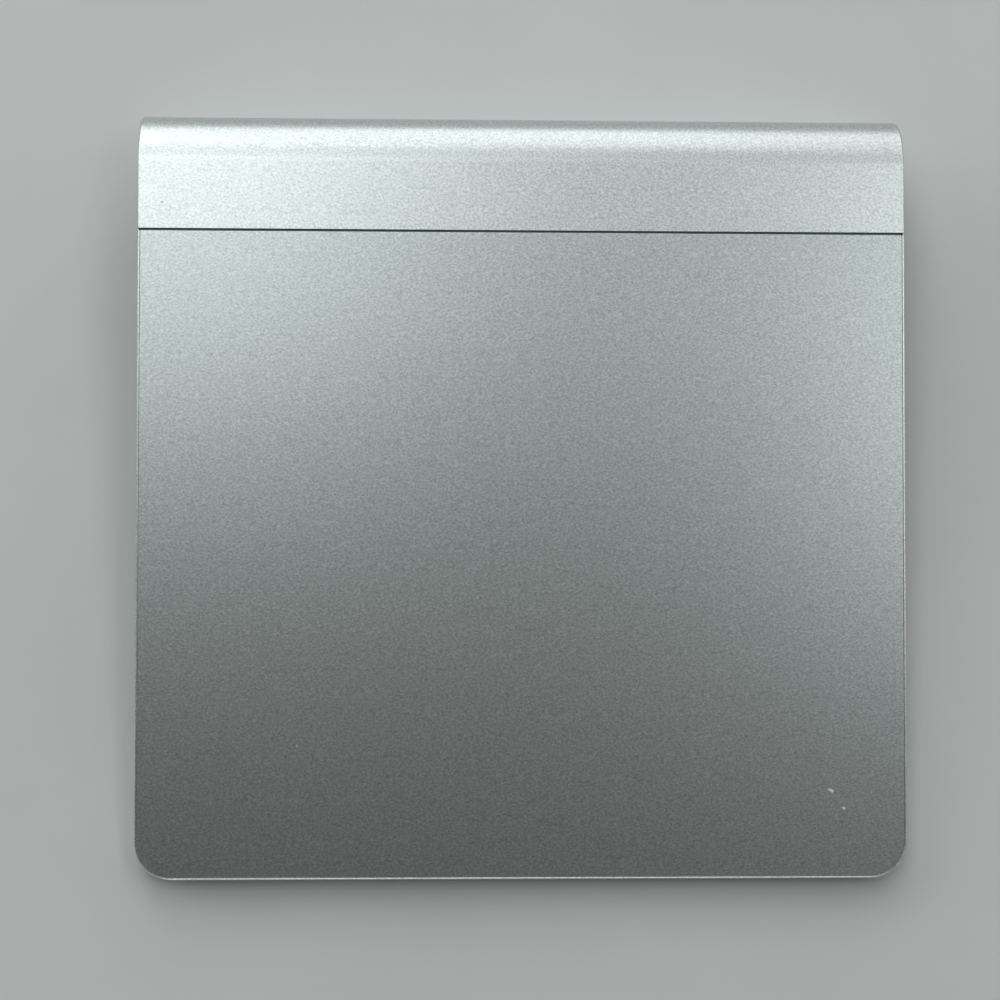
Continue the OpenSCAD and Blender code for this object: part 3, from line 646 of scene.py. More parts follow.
rounding = [pi / 2 * i / rounding_steps for i in range(rounding_steps + 1)]
plate_levels = [(plate_in, plate_back, -plate_t)]
for a in rounding:
    drawn_in = plate_round * (1 - cos(a))
    plate_levels.append((plate_in + drawn_in, plate_back - drawn_in, plate_round * (sin(a) - 1)))
plate_shape = layered(bmesh.new(), plate_levels)
bmesh.ops.translate(plate_shape, verts=plate_shape.verts, vec=-plate_shift * MM * across)
plate = made_piece("touch_plate_glass", plate_shape, satin_glass)
show(even_shading(plate), "base", "touch_glass", "touch_plate")

# Adhesive frame under the plate
# A die-cut frame of grey foam tape on the tray's ledge. Its back edge swells up into the seam behind
# the plate, where it lies in shadow and looks nearly black.
tape_gap = 0.02
seam_fill_n = 0.35
seam_in = 0.1
tape_in = rim_w + tape_gap
tape_front = plate_back + tape_gap
tape_back = seam_u - tape_gap
foam_tape = grained(
    "foam_tape", dark=(90, 96, 96), light=(106, 112, 112), grain_mm=0.2,
    rough=(0.75, 0.95), relief_mm=0.02,
)

tape_shape = layered(bmesh.new(), [
    (tape_in, tape_back, -recess_n),
    (tape_in, tape_back, -plate_t),
    (window_in, window_u1, -plate_t),
    (window_in, window_u1, -recess_n),
], looped=True)
block(
    tape_shape,
    (-half_w + rim_w + tape_gap, tape_front, -plate_t),
    (half_w - rim_w - tape_gap, tape_back, -seam_fill_n),
)
block(
    tape_shape,
    (-half_w + seam_in, tape_front, -seam_notch + tape_gap),
    (half_w - seam_in, tape_back, -seam_fill_n - tape_gap),
)
show(made_piece("plate_tape", tape_shape, foam_tape), "base", "adhesive", "plate_gasket")

# Touch sensor
# A thin circuit board bonded to the back of the plate. Its copper is etched into rows of diamonds that
# feel the fingers, and a small hole near one corner lets the light of the status lamp through.
diamond_mm = 4.0
copper_tone = (86, 70, 44)
copper_share = 0.5


def dress(finish, *nodes):
    """Gives a finish to plain solids that keep their own shape."""
    for node in nodes:
        solid = frame["nodes"][node]
        solid.data.materials.clear()
        solid.data.materials.append(finish)


def electrode_board():
    """Black solder mask that shows the copper diamonds faintly."""
    finish = grained(
        "electrode_board", dark=(20, 30, 27), light=(27, 38, 34), grain_mm=0.3,
        rough=(0.35, 0.5), relief_mm=0.004,
    )
    tree = finish.node_tree
    turned_to = add(tree, "ShaderNodeMapping", {"Vector": on_piece(tree), "Rotation": (0, 0, pi / 4)})
    diamonds = add(tree, "ShaderNodeTexChecker", {
        "Vector": turned_to.outputs[0],
        "Scale": 1 / (diamond_mm * MM),
    })
    mark(finish, spread(tree, diamonds.outputs["Fac"], 0, copper_share, start=0, end=1), copper_tone)
    return finish


dress(electrode_board(), "touch_sensor")

# Stiffener sheet
# A sheet of half-hard aluminium glued under the front of the sensor, so that a press anywhere on the
# plate reaches the feet. It is blanked out with its window, and keeps the grain of the rolling mill.
rolled_aluminium = grained(
    "rolled_aluminium", dark=(176, 180, 181), light=(206, 209, 210), grain_mm=0.6,
    rough=(0.28, 0.42), relief_mm=0.004, metallic=1.0, stretch=(0.05, 1, 1),
)
dress(rolled_aluminium, "stiffener_plate")

# Status lamp
# A small lamp under the hole in the sensor, which shines up through the plate. It has a base moulded
# in white resin, with a narrower clear lens cast on top of it.
lamp_clear = 0.2
lamp_corner = 0.1
lamp_levels = [(0, 0), (0, 0.5), (0.2, 0.55), (0.22, 0.9), (0.3, 1)]
tablet_corner_steps = 4
least_tablet_r = 0.02


def rounded(half_x, half_u, r):
    """A rectangle with rounded corners, about its own middle."""
    x = half_x - r
    u = half_u - r
    outline = []
    for middle, start in (((x, -u), -90), ((x, u), 0), ((-x, u), 90), ((-x, -u), 180)):
        outline += arc(middle, r, start, start + 90, tablet_corner_steps)
    return outline


def tablet(shape, low, high, corner, levels):
    """A piece with rounded corners that fills a box, from levels of inset and share of its height."""
    middle = (low + high) / 2
    half = (high - low) / 2
    rings = []
    for inset, share in levels:
        outline = rounded(half.x - inset, half.y - inset, max(corner - inset, least_tablet_r))
        n = low.z + (high.z - low.z) * share
        rings.append([set_down(middle.x + x, middle.y + u, n) for x, u in outline])
    return skin(shape, rings)


def paint(piece, finish, chosen):
    """Gives another finish to the faces whose middle, in the body's own axes, is chosen."""
    piece.data.materials.append(finish)
    last = len(piece.data.materials) - 1
    for face in piece.data.polygons:
        place = (face.center - tube_line) / MM
        if chosen(place.dot(across), tube_u + place.dot(along), place.dot(up) - tube_r):
            face.material_index = last


lamp_resin = grained(
    "lamp_resin", dark=(232, 232, 224), light=(246, 246, 241), grain_mm=0.2,
    rough=(0.29, 0.4), relief_mm=0.002,
)
lamp_resin.node_tree.nodes["Principled BSDF"].inputs["Transmission Weight"].default_value = lamp_clear
lamp_shape = tablet(bmesh.new(), *measured("status_led"), lamp_corner, lamp_levels)
show(made_piece("status_lamp", lamp_shape, lamp_resin), "base", "lamp", "status_led")

# Click switch
# A square snap-dome switch soldered under the sensor: a black moulded body with a tinned cover plate,
# and a grey button that the click bar pushes. The button slides in the body's bore.
bore_play = 0.05
switch_throw = 0.3
switch_corner = 0.5
switch_levels = [(0.06, 0), (0, 0.08), (0, 0.2), (0.08, 0.2), (0.08, 0.95), (0.12, 1)]
tin_t = 0.17
tin_gap = 0.1
key_crown = [(0.25, 0), (0.08, 0.04), (0, 0.12)]
moulded_black = grained(
    "moulded_black", dark=(26, 26, 27), light=(38, 38, 39), grain_mm=0.25,
    rough=(0.42, 0.58), relief_mm=0.008,
)
moulded_grey = grained(
    "moulded_grey", dark=(136, 140, 140), light=(150, 154, 154), grain_mm=0.3,
    rough=(0.38, 0.52), relief_mm=0.008,
)
tinned_plate = grained(
    "tinned_plate", dark=(178, 177, 170), light=(208, 207, 200), grain_mm=0.5,
    rough=(0.29, 0.4), relief_mm=0.004, metallic=1.0,
)

switch_low, switch_high = measured("click_switch")
key_low, key_high = measured("click_switch_button")
switch_u = (key_low.y + key_high.y) / 2
key_r = (key_high.x - key_low.x) / 2
switch_shape = tablet(bmesh.new(), switch_low, switch_high, switch_corner, switch_levels)
switch_bore = post(bmesh.new(), 0, switch_u, [
    (key_r + bore_play, switch_low.z - cut_past),
    (key_r + bore_play, key_high.z + switch_throw),
])
key_levels = [(key_r - inset, key_low.z + rise) for inset, rise in key_crown]
key_shape = post(bmesh.new(), 0, switch_u, key_levels + [(key_r, key_high.z)])


def on_switch_cover(x, u, n):
    """Whether a place on the switch is on its tinned cover plate."""
    return n < switch_low.z + tin_t and max(abs(x), abs(u - switch_u)) > key_r + tin_gap


click_switch = cut(made_piece("click_switch_body", switch_shape, moulded_black), switch_bore)
paint(click_switch, tinned_plate, on_switch_cover)
show(click_switch, "base", "dark_plastic", "click_switch")
click_key = made_piece("click_switch_key", key_shape, moulded_grey)
show(click_key, "click_plunger", "grey_plastic", "click_switch_button")

# Click hinge
# Two folded steel brackets, glued under the stiffener, carry the pins on which the click bar swings.
# The pins are cut from drawn wire and have their ends tumbled round.
pin_end = 0.1
pin_steps = 24
stamped_steel = grained(
    "stamped_steel", dark=(146, 148, 150), light=(176, 178, 180), grain_mm=0.8,
    rough=(0.28, 0.42), relief_mm=0.006, metallic=1.0, stretch=(0.25, 1, 1),
)
dress(stamped_steel, "left_hinge_bracket", "right_hinge_bracket")
for side in ("left", "right"):
    pin_low, pin_high = measured(side + "_hinge_pin")
    pin_middle = (pin_low + pin_high) / 2
    pin_r = (pin_high.z - pin_low.z) / 2
    pin_profile = [
        (pin_low.x, pin_r - pin_end),
        (pin_low.x + pin_end, pin_r),
        (pin_high.x - pin_end, pin_r),
        (pin_high.x, pin_r - pin_end),
    ]
    pin_shape = turned(bmesh.new(), pin_profile, pin_middle.y, pin_middle.z, pin_steps)
    show(made_piece(side + "_pin", pin_shape, stamped_steel), "base", "steel", side + "_hinge_pin")

# Click bar
# A bar stamped from steel sheet that joins both front feet and rocks on the hinge pins, so that a
# press on either corner works the one switch.
dress(stamped_steel, "click_bar")

# Click springs
# Two bowed leaves of blued spring steel between the stiffener and the click bar. On the real pad they
# flatten when the bar rocks, and push it back down; here they keep their bowed rest shape.
leaf_t = 0.15
leaf_break = 0.04
leaf_steps = 10
spring_steel = grained(
    "spring_steel", dark=(120, 125, 132), light=(158, 163, 170), grain_mm=1.2,
    rough=(0.29, 0.36), relief_mm=0.003, metallic=1.0, stretch=(0.15, 1, 1),
)
for side in ("left", "right"):
    leaf_low, leaf_high = measured(side + "_click_spring")
    leaf_middle = (leaf_low + leaf_high) / 2
    leaf_half = (leaf_high - leaf_low) / 2
    leaf_h = leaf_high.z - leaf_low.z
    bow = leaf_h - leaf_t
    leaf_rings = []
    for share in [i / leaf_steps - 1 for i in range(2 * leaf_steps + 1)]:
        x = leaf_middle.x + share * leaf_half.x
        top_n = leaf_high.z - bow * (1 - share ** 2)
        section = [
            (leaf_half.y - leaf_break, top_n),
            (leaf_half.y, top_n - leaf_break),
            (leaf_half.y, top_n - leaf_t + leaf_break),
            (leaf_half.y - leaf_break, top_n - leaf_t),
        ]
        section += [(-u, n) for u, n in section[::-1]]
        leaf_rings.append([set_down(x, leaf_middle.y + u, n) for u, n in section])
    leaf = made_piece(side + "_leaf", skin(bmesh.new(), leaf_rings), spring_steel)
    show(leaf, "base", "steel", side + "_click_spring")
    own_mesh(leaf)

# Front feet
# Hard grey plungers, staked into the click bar, that stand through the bottom cover. Each has a disc
# of soft pale rubber glued on and ground to the table, with its lower edge rounded over.
foot_u = 10.0
foot_r = 4.6
foot_edge = 0.08
foot_steps = 64
stud_r = 1.2
bar_low_n = -3.15
collar_w = 1.0
collar_t = 0.5
collar_r = foot_r + collar_w
collar_n = bar_low_n - collar_t
pad_edge = 0.25
pad_rubber = grained(
    "pad_rubber", dark=(158, 160, 158), light=(178, 180, 178), grain_mm=0.3,
    rough=(0.62, 0.85), relief_mm=0.012,
)


def pad_ring(x, r, n):
    """A ring round a foot's axis, at a height in the body's own axes."""
    turns = [2 * pi * i / foot_steps for i in range(foot_steps)]
    return [set_down(x + r * cos(t), foot_u + r * sin(t), n) for t in turns]


def down_to(z, ring):
    """A ring carried along the body's normal to a height above the table."""
    return [point - up * (point.z - z * MM) / up.z for point in ring]


for side in ("left", "right"):
    foot_low, foot_high = measured(side + "_foot_plunger")
    foot_x = (foot_low.x + foot_high.x) / 2
    pad_top_n = foot_low.z
    plunger_shape = post(bmesh.new(), foot_x, foot_u, [
        (foot_r - foot_edge, pad_top_n),
        (foot_r, pad_top_n + foot_edge),
        (foot_r, collar_n),
        (collar_r - foot_edge, collar_n),
        (collar_r, collar_n + foot_edge),
        (collar_r, bar_low_n - foot_edge),
        (collar_r - foot_edge, bar_low_n),
        (stud_r, bar_low_n),
        (stud_r, foot_high.z - foot_edge),
        (stud_r - foot_edge, foot_high.z),
    ], foot_steps)
    pad_rings = [pad_ring(foot_x, foot_r, pad_top_n)]
    for a in rounding:
        ring = pad_ring(foot_x, foot_r - pad_edge * (1 - cos(a)), pad_top_n)
        pad_rings.append(down_to(pad_edge * (1 - sin(a)), ring))
    plunger = made_piece(side + "_plunger", plunger_shape, moulded_grey)
    show(plunger, "click_rocker", "grey_plastic", side + "_foot_plunger")
    pad = made_piece(side + "_pad", skin(bmesh.new(), pad_rings), pad_rubber)
    show(pad, "click_rocker", "foot_rubber", side + "_foot_pad")

# Main board
# The circuit board along the back of the tray, with its back edge in a pocket of the metal. Green
# solder mask over its tracks, and gold-flashed holes where they change sides.
track_mm = 0.7
track_tone = (34, 84, 56)
via_mm = 2.2
via_tone = (178, 146, 82)


def solder_mask():
    """Green mask with lighter ridges over the tracks, and small gold rings."""
    finish = grained(
        "solder_mask", dark=(16, 52, 34), light=(22, 62, 41), grain_mm=0.4,
        rough=(0.3, 0.42), relief_mm=0.004,
    )
    tree = finish.node_tree
    tracks = add(tree, "ShaderNodeTexWave", {
        "Vector": on_piece(tree),
        "Scale": 1 / (2 * pi * track_mm * MM),
        "Distortion": 5.0,
        "Detail": 1.0,
        "Detail Scale": 0.4,
    }, bands_direction="Y")
    vias = add(tree, "ShaderNodeTexVoronoi", {"Vector": on_piece(tree), "Scale": 1 / (via_mm * MM)})
    mark(finish, spread(tree, tracks.outputs["Fac"], 0, 1, start=0.55, end=0.65), track_tone)
    mark(finish, spread(tree, vias.outputs["Distance"], 1, 0, start=0.09, end=0.11), via_tone)
    return finish


dress(solder_mask(), "main_board", "power_board")

# Chips on the board
# The touch controller, the radio and the regulator: dies moulded in black epoxy, with a dimple at the
# first contact. Each stands on rows of tinned contacts, soldered to the board.
chip_corner = 0.12
chip_levels = [(0.06, 0), (0, 0.12), (0, 0.8), (0.06, 1)]
dot_in = 0.7
dot_r = 0.25
dot_tone = (70, 70, 71)
contact_w = 0.24
contact_t = 0.05
contact_rise = 0.2
contact_pitch = 0.5
contact_out = 0.25
contact_places = []
chip_epoxy = grained(
    "chip_epoxy", dark=(22, 22, 23), light=(32, 32, 33), grain_mm=0.12,
    rough=(0.5, 0.68), relief_mm=0.006,
)


def contacts_along(start, end, u, n):
    """Places of a row of contacts across the board, between two sides."""
    count = int((end - start - contact_w) / contact_pitch)
    first = (start + end - count * contact_pitch) / 2
    return [(first + contact_pitch * i, u, n) for i in range(count + 1)]


for chip in ("touch_controller", "radio_chip", "power_regulator"):
    chip_low, chip_high = measured(chip)
    chip_shape = tablet(bmesh.new(), chip_low, chip_high, chip_corner, chip_levels)
    dot = speck(chip_epoxy.node_tree, chip_low.x + dot_in, chip_low.y + dot_in, dot_r, chip_high.z)
    mark(chip_epoxy, dot, dot_tone)
    show(made_piece(chip + "_package", chip_shape, chip_epoxy), "base", "chip", chip)
    contact_n = chip_low.z + contact_t / 2
    for u in (chip_low.y, chip_high.y):
        contact_places += contacts_along(chip_low.x, chip_high.x, u, contact_n)

# Socket for the sensor's flat cable
# A low socket moulded in black plastic and soldered to the board, with a row of contacts behind. A
# latch over its mouth flips down and pinches the cable.
socket_corner = 0.2
socket_levels = [(0.04, 0), (0, 0.08), (0, 0.7), (0.05, 0.72)]
latch_side = 0.5
latch_front = 0.05
latch_l = 0.9
latch_t = 0.16
latch_levels = [(0, 0), (0, 0.4), (0.1, 1)]
socket_low, socket_high = measured("sensor_connector")
latch_low = Vector((socket_low.x + latch_side, socket_low.y + latch_front, socket_high.z - latch_t))
latch_high = Vector((socket_high.x - latch_side, socket_low.y + latch_l, socket_high.z))
socket_shape = tablet(bmesh.new(), socket_low, socket_high, socket_corner, socket_levels)
tablet(socket_shape, latch_low, latch_high, socket_corner, latch_levels)
socket = made_piece("flat_cable_socket", socket_shape, moulded_black)
show(socket, "base", "dark_plastic", "sensor_connector")
contact_places += contacts_along(socket_low.x, socket_high.x, socket_high.y, socket_low.z + contact_t / 2)

# Solder contacts
# The feet of the chips and of the socket: short strips of tinned copper, each bent into a low arch
# and soldered to the board. All are alike, so one is bent and set down at every place.
contact_bend_steps = 6
body_lean = Vector(Matrix((across, along, up)).transposed().to_euler())
contact_sizes = {
    "Width": contact_w * MM,
    "Half length": contact_out * MM,
    "Rise": contact_rise * MM,
    "Thickness": contact_t * MM,
    "Lean": body_lean,
    "Finish": tinned_plate,
}


def new_tree(name, **inputs):
    """A geometry tree with a named input for each size, and the node that gives their sockets."""
    kinds = {
        float: "NodeSocketFloat",
        Vector: "NodeSocketVector",
        bpy.types.Material: "NodeSocketMaterial",
    }
    tree = bpy.data.node_groups.new(name, "GeometryNodeTree")
    tree.interface.new_socket("Geometry", in_out="INPUT", socket_type="NodeSocketGeometry")
    tree.interface.new_socket("Geometry", in_out="OUTPUT", socket_type="NodeSocketGeometry")
    for size, value in inputs.items():
        tree.interface.new_socket(size, in_out="INPUT", socket_type=kinds[type(value)])
    return tree, add(tree, "NodeGroupInput").outputs


def end_tree(tree, geometry, finish):
    """Closes a tree: its copies become one mesh, in the finish."""
    whole = add(tree, "GeometryNodeRealizeInstances", {"Geometry": geometry})
    painted = add(tree, "GeometryNodeSetMaterial", {"Geometry": whole.outputs[0], "Material": finish})
    add(tree, "NodeGroupOutput", {"Geometry": painted.outputs[0]})


def at_points(tree, points, copy, lean):
    """A copy of the geometry at each point, leaning as the body does."""
    leaning = add(tree, "FunctionNodeEulerToRotation", {0: lean})
    return add(tree, "GeometryNodeInstanceOnPoints", {
        "Points": points,
        "Instance": copy,
        "Rotation": leaning.outputs[0],
    }).outputs[0]


def grown(name, tree, places=(), **inputs):
    """The plain mesh that a tree makes at these sizes, on points of the body where it needs them."""
    mesh = bpy.data.meshes.new(name)
    mesh.from_pydata([set_down(*place) for place in places], [], [])
    piece = bpy.data.objects.new(name, mesh)
    scene.collection.objects.link(piece)
    maker = piece.modifiers.new("maker", "NODES")
    maker.node_group = tree
    for socket in tree.interface.items_tree:
        if socket.name in inputs:
            maker[socket.identifier] = inputs[socket.name]
    plain_mesh(piece)
    while None in list(piece.data.materials):
        piece.data.materials.pop(index=list(piece.data.materials).index(None))
    crisp_edges(piece.data)
    return piece


contact_tree, given = new_tree("solder_contacts", **contact_sizes)
bend = {"Resolution": contact_bend_steps}
for end, side, lift in (("Start", -1, 0), ("Start Handle", -1, 1), ("End Handle", 1, 1), ("End", 1, 0)):
    bend[end] = add(contact_tree, "ShaderNodeCombineXYZ", {
        "Y": reckon(contact_tree, "MULTIPLY", given["Half length"], side),
        "Z": reckon(contact_tree, "MULTIPLY", given["Rise"], lift),
    }).outputs[0]
bent = add(contact_tree, "GeometryNodeCurvePrimitiveBezierSegment", bend).outputs[0]
level = add(contact_tree, "GeometryNodeSetCurveNormal", {"Curve": bent}, mode="Z_UP").outputs[0]
strip = add(contact_tree, "GeometryNodeCurvePrimitiveQuadrilateral", {
    "Width": given["Width"],
    "Height": given["Thickness"],
})
contact = add(contact_tree, "GeometryNodeCurveToMesh", {
    "Curve": level,
    "Profile Curve": strip.outputs[0],
    "Fill Caps": True,
})
contact_rows = at_points(contact_tree, given["Geometry"], contact.outputs[0], given["Lean"])
end_tree(contact_tree, contact_rows, given["Finish"])
show(grown("solder_contacts", contact_tree, contact_places, **contact_sizes), "base", "tin")

# Shield can
# The radio sits under a lid folded from tinned sheet, which keeps its noise in. Nine small vents are
# punched in the lid, and its edge is soldered to the board all round.
can_wall = 0.15
can_corner = 0.4
can_outside = [(0, 0), (0, 0.75), (0.04, 0.92), (0.14, 1)]
vent_r = 0.4
vent_pitch = 2.4
vent_reach = 0.3
vent_steps = 20
can_low, can_high = measured("shield_can")
can_middle = (can_low + can_high) / 2
can_inside = [(can_wall, 1 - can_wall / (can_high.z - can_low.z)), (can_wall, 0)]
can_shape = tablet(bmesh.new(), can_low, can_high, can_corner, can_inside + can_outside)
vent_levels = [(vent_r, can_high.z - vent_reach), (vent_r, can_high.z + vent_reach)]
vents = bmesh.new()
for row in (-1, 0, 1):
    for column in (-1, 0, 1):
        vent_x = can_middle.x + vent_pitch * column
        post(vents, vent_x, can_middle.y + vent_pitch * row, vent_levels, vent_steps)
show(cut(made_piece("radio_shield", can_shape, tinned_plate), vents), "base", "tin", "shield_can")

# Crystal
# The quartz that keeps the radio's time, in a small steel can. The can is drawn from sheet and
# welded down on the flange of its base.
crystal_corner = 0.3
crystal_levels = [(0, 0), (0, 0.15), (0.12, 0.2), (0.12, 0.9), (0.2, 1)]
crystal_shape = tablet(bmesh.new(), *measured("crystal"), crystal_corner, crystal_levels)
show(made_piece("crystal_can", crystal_shape, stamped_steel), "base", "steel", "crystal")

# Aerial
# A bar of fired white ceramic at the clear end of the board, with the aerial's windings inside it.
# Its ends are plated, and soldered to the board.
plated_w = 0.7
aerial_edge = 0.06
aerial_corner = 0.1
white_ceramic = grained(
    "white_ceramic", dark=(224, 222, 214), light=(236, 234, 227), grain_mm=0.3,
    rough=(0.45, 0.6), relief_mm=0.004,
)
aerial_low, aerial_high = measured("antenna")
aerial_middle = (aerial_low + aerial_high) / 2
aerial_half = (aerial_high - aerial_low) / 2
aerial_places = [(aerial_edge, 0), (0, aerial_edge), (0, plated_w)]
aerial_places += [(inset, 2 * aerial_half.x - x) for inset, x in aerial_places[::-1]]
aerial_rings = []
for inset, x in aerial_places:
    outline = rounded(aerial_half.y - inset, aerial_half.z - inset, aerial_corner)
    aerial_rings.append([
        set_down(aerial_low.x + x, aerial_middle.y + u, aerial_middle.z + n) for u, n in outline
    ])
aerial = made_piece("ceramic_aerial", skin(bmesh.new(), aerial_rings), white_ceramic)
paint(aerial, tinned_plate, lambda x, u, n: abs(x - aerial_middle.x) > aerial_half.x - plated_w)
show(aerial, "base", "ceramic", "antenna")

# Board screws
# Three small pan-head screws of plated steel, which pull the board up against the tray. Their cross
# recess is punched when the head is formed.
head_r = 1.2
head_h = 0.4
head_steps = 32
recess_w = 0.28
recess_l = 1.5
shank_gap = 0.05
shank_steps = 20
screw_places = [(x, screw_u, board_low.z) for x in screw_xs]
screw_sizes = {
    "Head radius": head_r * MM,
    "Head height": head_h * MM,
    "Shank radius": screw_r * MM,
    "Shank length": (board_high.z - board_low.z + screw_bite - shank_gap) * MM,
    "Recess width": recess_w * MM,
    "Recess length": recess_l * MM,
    "Lean": body_lean,
    "Finish": stamped_steel,
}


def raised(tree, geometry, height, share, turn=0.0):
    """Geometry lifted by a share of a height, and turned about its own axis."""
    lift = add(tree, "ShaderNodeCombineXYZ", {"Z": reckon(tree, "MULTIPLY", height, share)})
    return add(tree, "GeometryNodeTransform", {
        "Geometry": geometry,
        "Translation": lift.outputs[0],
        "Rotation": (0, 0, turn),
    }).outputs[0]


screw_tree, given = new_tree("pan_head_screws", **screw_sizes)
head = add(screw_tree, "GeometryNodeMeshCylinder", {
    "Vertices": head_steps,
    "Radius": given["Head radius"],
    "Depth": given["Head height"],
})
shank = add(screw_tree, "GeometryNodeMeshCylinder", {
    "Vertices": shank_steps,
    "Radius": given["Shank radius"],
    "Depth": given["Shank length"],
})
recess_box = add(screw_tree, "ShaderNodeCombineXYZ", {
    "X": given["Recess length"],
    "Y": given["Recess width"],
    "Z": given["Head height"],
})
recess_bar = add(screw_tree, "GeometryNodeMeshCube", {"Size": recess_box.outputs[0]}).outputs[0]
recessed = raised(screw_tree, head.outputs[0], given["Head height"], -0.5)
for turn in (0, pi / 2):
    recessed = add(screw_tree, "GeometryNodeMeshBoolean", {
        "Mesh 1": recessed,
        "Mesh 2": raised(screw_tree, recess_bar, given["Head height"], -1.0, turn),
    }, solver="EXACT").outputs[0]
screw = add(screw_tree, "GeometryNodeJoinGeometry")
screw_tree.links.new(recessed, screw.inputs[0])
screw_tree.links.new(raised(screw_tree, shank.outputs[0], given["Shank length"], 0.5), screw.inputs[0])
screws = at_points(screw_tree, given["Geometry"], screw.outputs[0], given["Lean"])
end_tree(screw_tree, screws, given["Finish"])
show(grown("board_screw_set", screw_tree, screw_places, **screw_sizes), "base", "steel", "board_screws")

# Flat cables
# Two strips of amber polyimide film with copper tracks in them: one from the sensor down into its
# socket, and one from the board through a slot in the tray to the power switch.
strand_mm = 0.5
strand_tone = (198, 128, 66)
strand_share = 0.8


def copper_film():
    """Amber film over a row of copper tracks that run along the cable."""
    finish = grained(
        "copper_film", dark=(150, 88, 26), light=(170, 102, 34), grain_mm=0.4,
        rough=(0.3, 0.4), relief_mm=0.002,
    )
    tree = finish.node_tree
    strands = add(tree, "ShaderNodeTexWave", {
        "Vector": on_piece(tree),
        "Scale": 1 / (2 * pi * strand_mm * MM),
    }, bands_direction="X")
    mark(finish, spread(tree, strands.outputs["Fac"], 0, strand_share, start=0.4, end=0.6), strand_tone)
    return finish


dress(copper_film(), "sensor_flex", "power_flex")

# Battery sleeve
# A thin sleeve extruded in grey plastic and pushed into the tube, which keeps the cells off the
# metal. Its mouth is flared a little, so that they slide in.
sleeve_gap = 0.05
sleeve_r = bore_r - sleeve_gap
passage_r = 7.2
lead_in = 0.15
sleeve_low, sleeve_high = measured("battery_sleeve")
sleeve_shape = turned(bmesh.new(), [
    (sleeve_low.x, sleeve_r),
    (sleeve_high.x, sleeve_r),
    (sleeve_high.x, passage_r),
    (sleeve_low.x + lead_in, passage_r),
    (sleeve_low.x, passage_r + lead_in),
], looped=True)
show(made_piece("cell_sleeve", sleeve_shape, moulded_grey), "base", "grey_plastic", "battery_sleeve")

# Positive contact
# The disc at the far end of the tube that the last cell's button rests on. It is stamped from tinned
# sheet, with a dimple pressed into its middle.
disc_edge = 0.1
dimple_r = 1.6
dimple_h = 0.2
dimple_foot = 0.5
dimple_back = 0.4
disc_steps = 64
disc_low, disc_high = measured("positive_contact")
disc_r = (disc_high.z - disc_low.z) / 2
disc_shape = turned(bmesh.new(), [
    (disc_high.x - dimple_h, dimple_r - dimple_foot),
    (disc_high.x, dimple_r),
    (disc_high.x, disc_r - disc_edge),
    (disc_high.x - disc_edge, disc_r),
    (disc_low.x + disc_edge, disc_r),
    (disc_low.x + disc_edge, dimple_r + dimple_back),
    (disc_low.x, dimple_r),
], steps=disc_steps)
show(made_piece("cell_contact", disc_shape, tinned_plate), "base", "tin", "positive_contact")

# Contact carrier
# A plug moulded in black plastic that closes the sleeve. It holds the positive contact on one side
# and the power switch's board on the other, and its slot passes the flat cable.
carrier_low, carrier_high = measured("contact_carrier")
carrier_shape = turned(bmesh.new(), [
    (carrier_low.x, sleeve_r - lead_in),
    (carrier_low.x + lead_in, sleeve_r),
    (carrier_high.x - lead_in, sleeve_r),
    (carrier_high.x, sleeve_r - lead_in),
])
carrier_slot = block(
    bmesh.new(),
    (flex_low.x - pocket_play, tube_u - tube_r - cut_past, flex_low.z - pocket_play),
    (flex_high.x + pocket_play, tube_u, flex_high.z + pocket_play),
)
carrier = cut(made_piece("carrier", carrier_shape, moulded_black), carrier_slot)
show(carrier, "base", "dark_plastic", "contact_carrier")

# Cells
# Two round cells end to end, each a nickel-plated can in a shrunk plastic wrapper, with a crimped
# dish at its flat end and a raised button at the other.
button_r = 2.75
button_h = 1.2
button_edge = 0.25
button_round = 0.3
wrap_in = 0.3
wrap_bend = 0.5
wrap_drop = 0.2
wrap_seen = 0.29
# Each end of the can: how far in from the end, and the radius there
dish_end = [(0.3, 3.6), (0.22, 4.4), (0, 4.7), (0, 5.7), (0.2, 6.1), (0.3, 6.5)]
shoulder_end = [(0.3, 6.5), (0.15, 6.1), (0, 5.6), (0.1, button_r + 0.5), (0, button_r)]
cell_wrapper = grained(
    "cell_wrapper", dark=(46, 50, 54), light=(58, 62, 66), grain_mm=0.5,
    rough=(0.29, 0.36), relief_mm=0.004,
)
nickel_plate = grained(
    "nickel_plate", dark=(176, 172, 162), light=(206, 202, 192), grain_mm=0.4,
    rough=(0.29, 0.36), relief_mm=0.003, metallic=1.0,
)
for side in ("left", "right"):
    cell_low, cell_high = measured(side + "_cell")
    cell_r = (cell_high.z - cell_low.z) / 2
    can_start = cell_low.x
    can_end = cell_high.x - button_h
    wrapper = [
        (can_start + wrap_in, cell_r - wrap_drop),
        (can_start + wrap_bend, cell_r),
        (can_end - wrap_bend, cell_r),
        (can_end - wrap_in, cell_r - wrap_drop),
    ]
    button = [(cell_high.x - button_edge, button_r), (cell_high.x, button_r - button_round)]
    cell_profile = [(can_start + depth, r) for depth, r in dish_end] + wrapper
    cell_profile += [(can_end - depth, r) for depth, r in shoulder_end] + button
    cell = made_piece(side + "_round_cell", turned(bmesh.new(), cell_profile), nickel_plate)
    paint(cell, cell_wrapper, lambda x, u, n: can_start + wrap_seen < x < can_end - wrap_seen)
    show(cell, "base", "cell", side + "_cell")

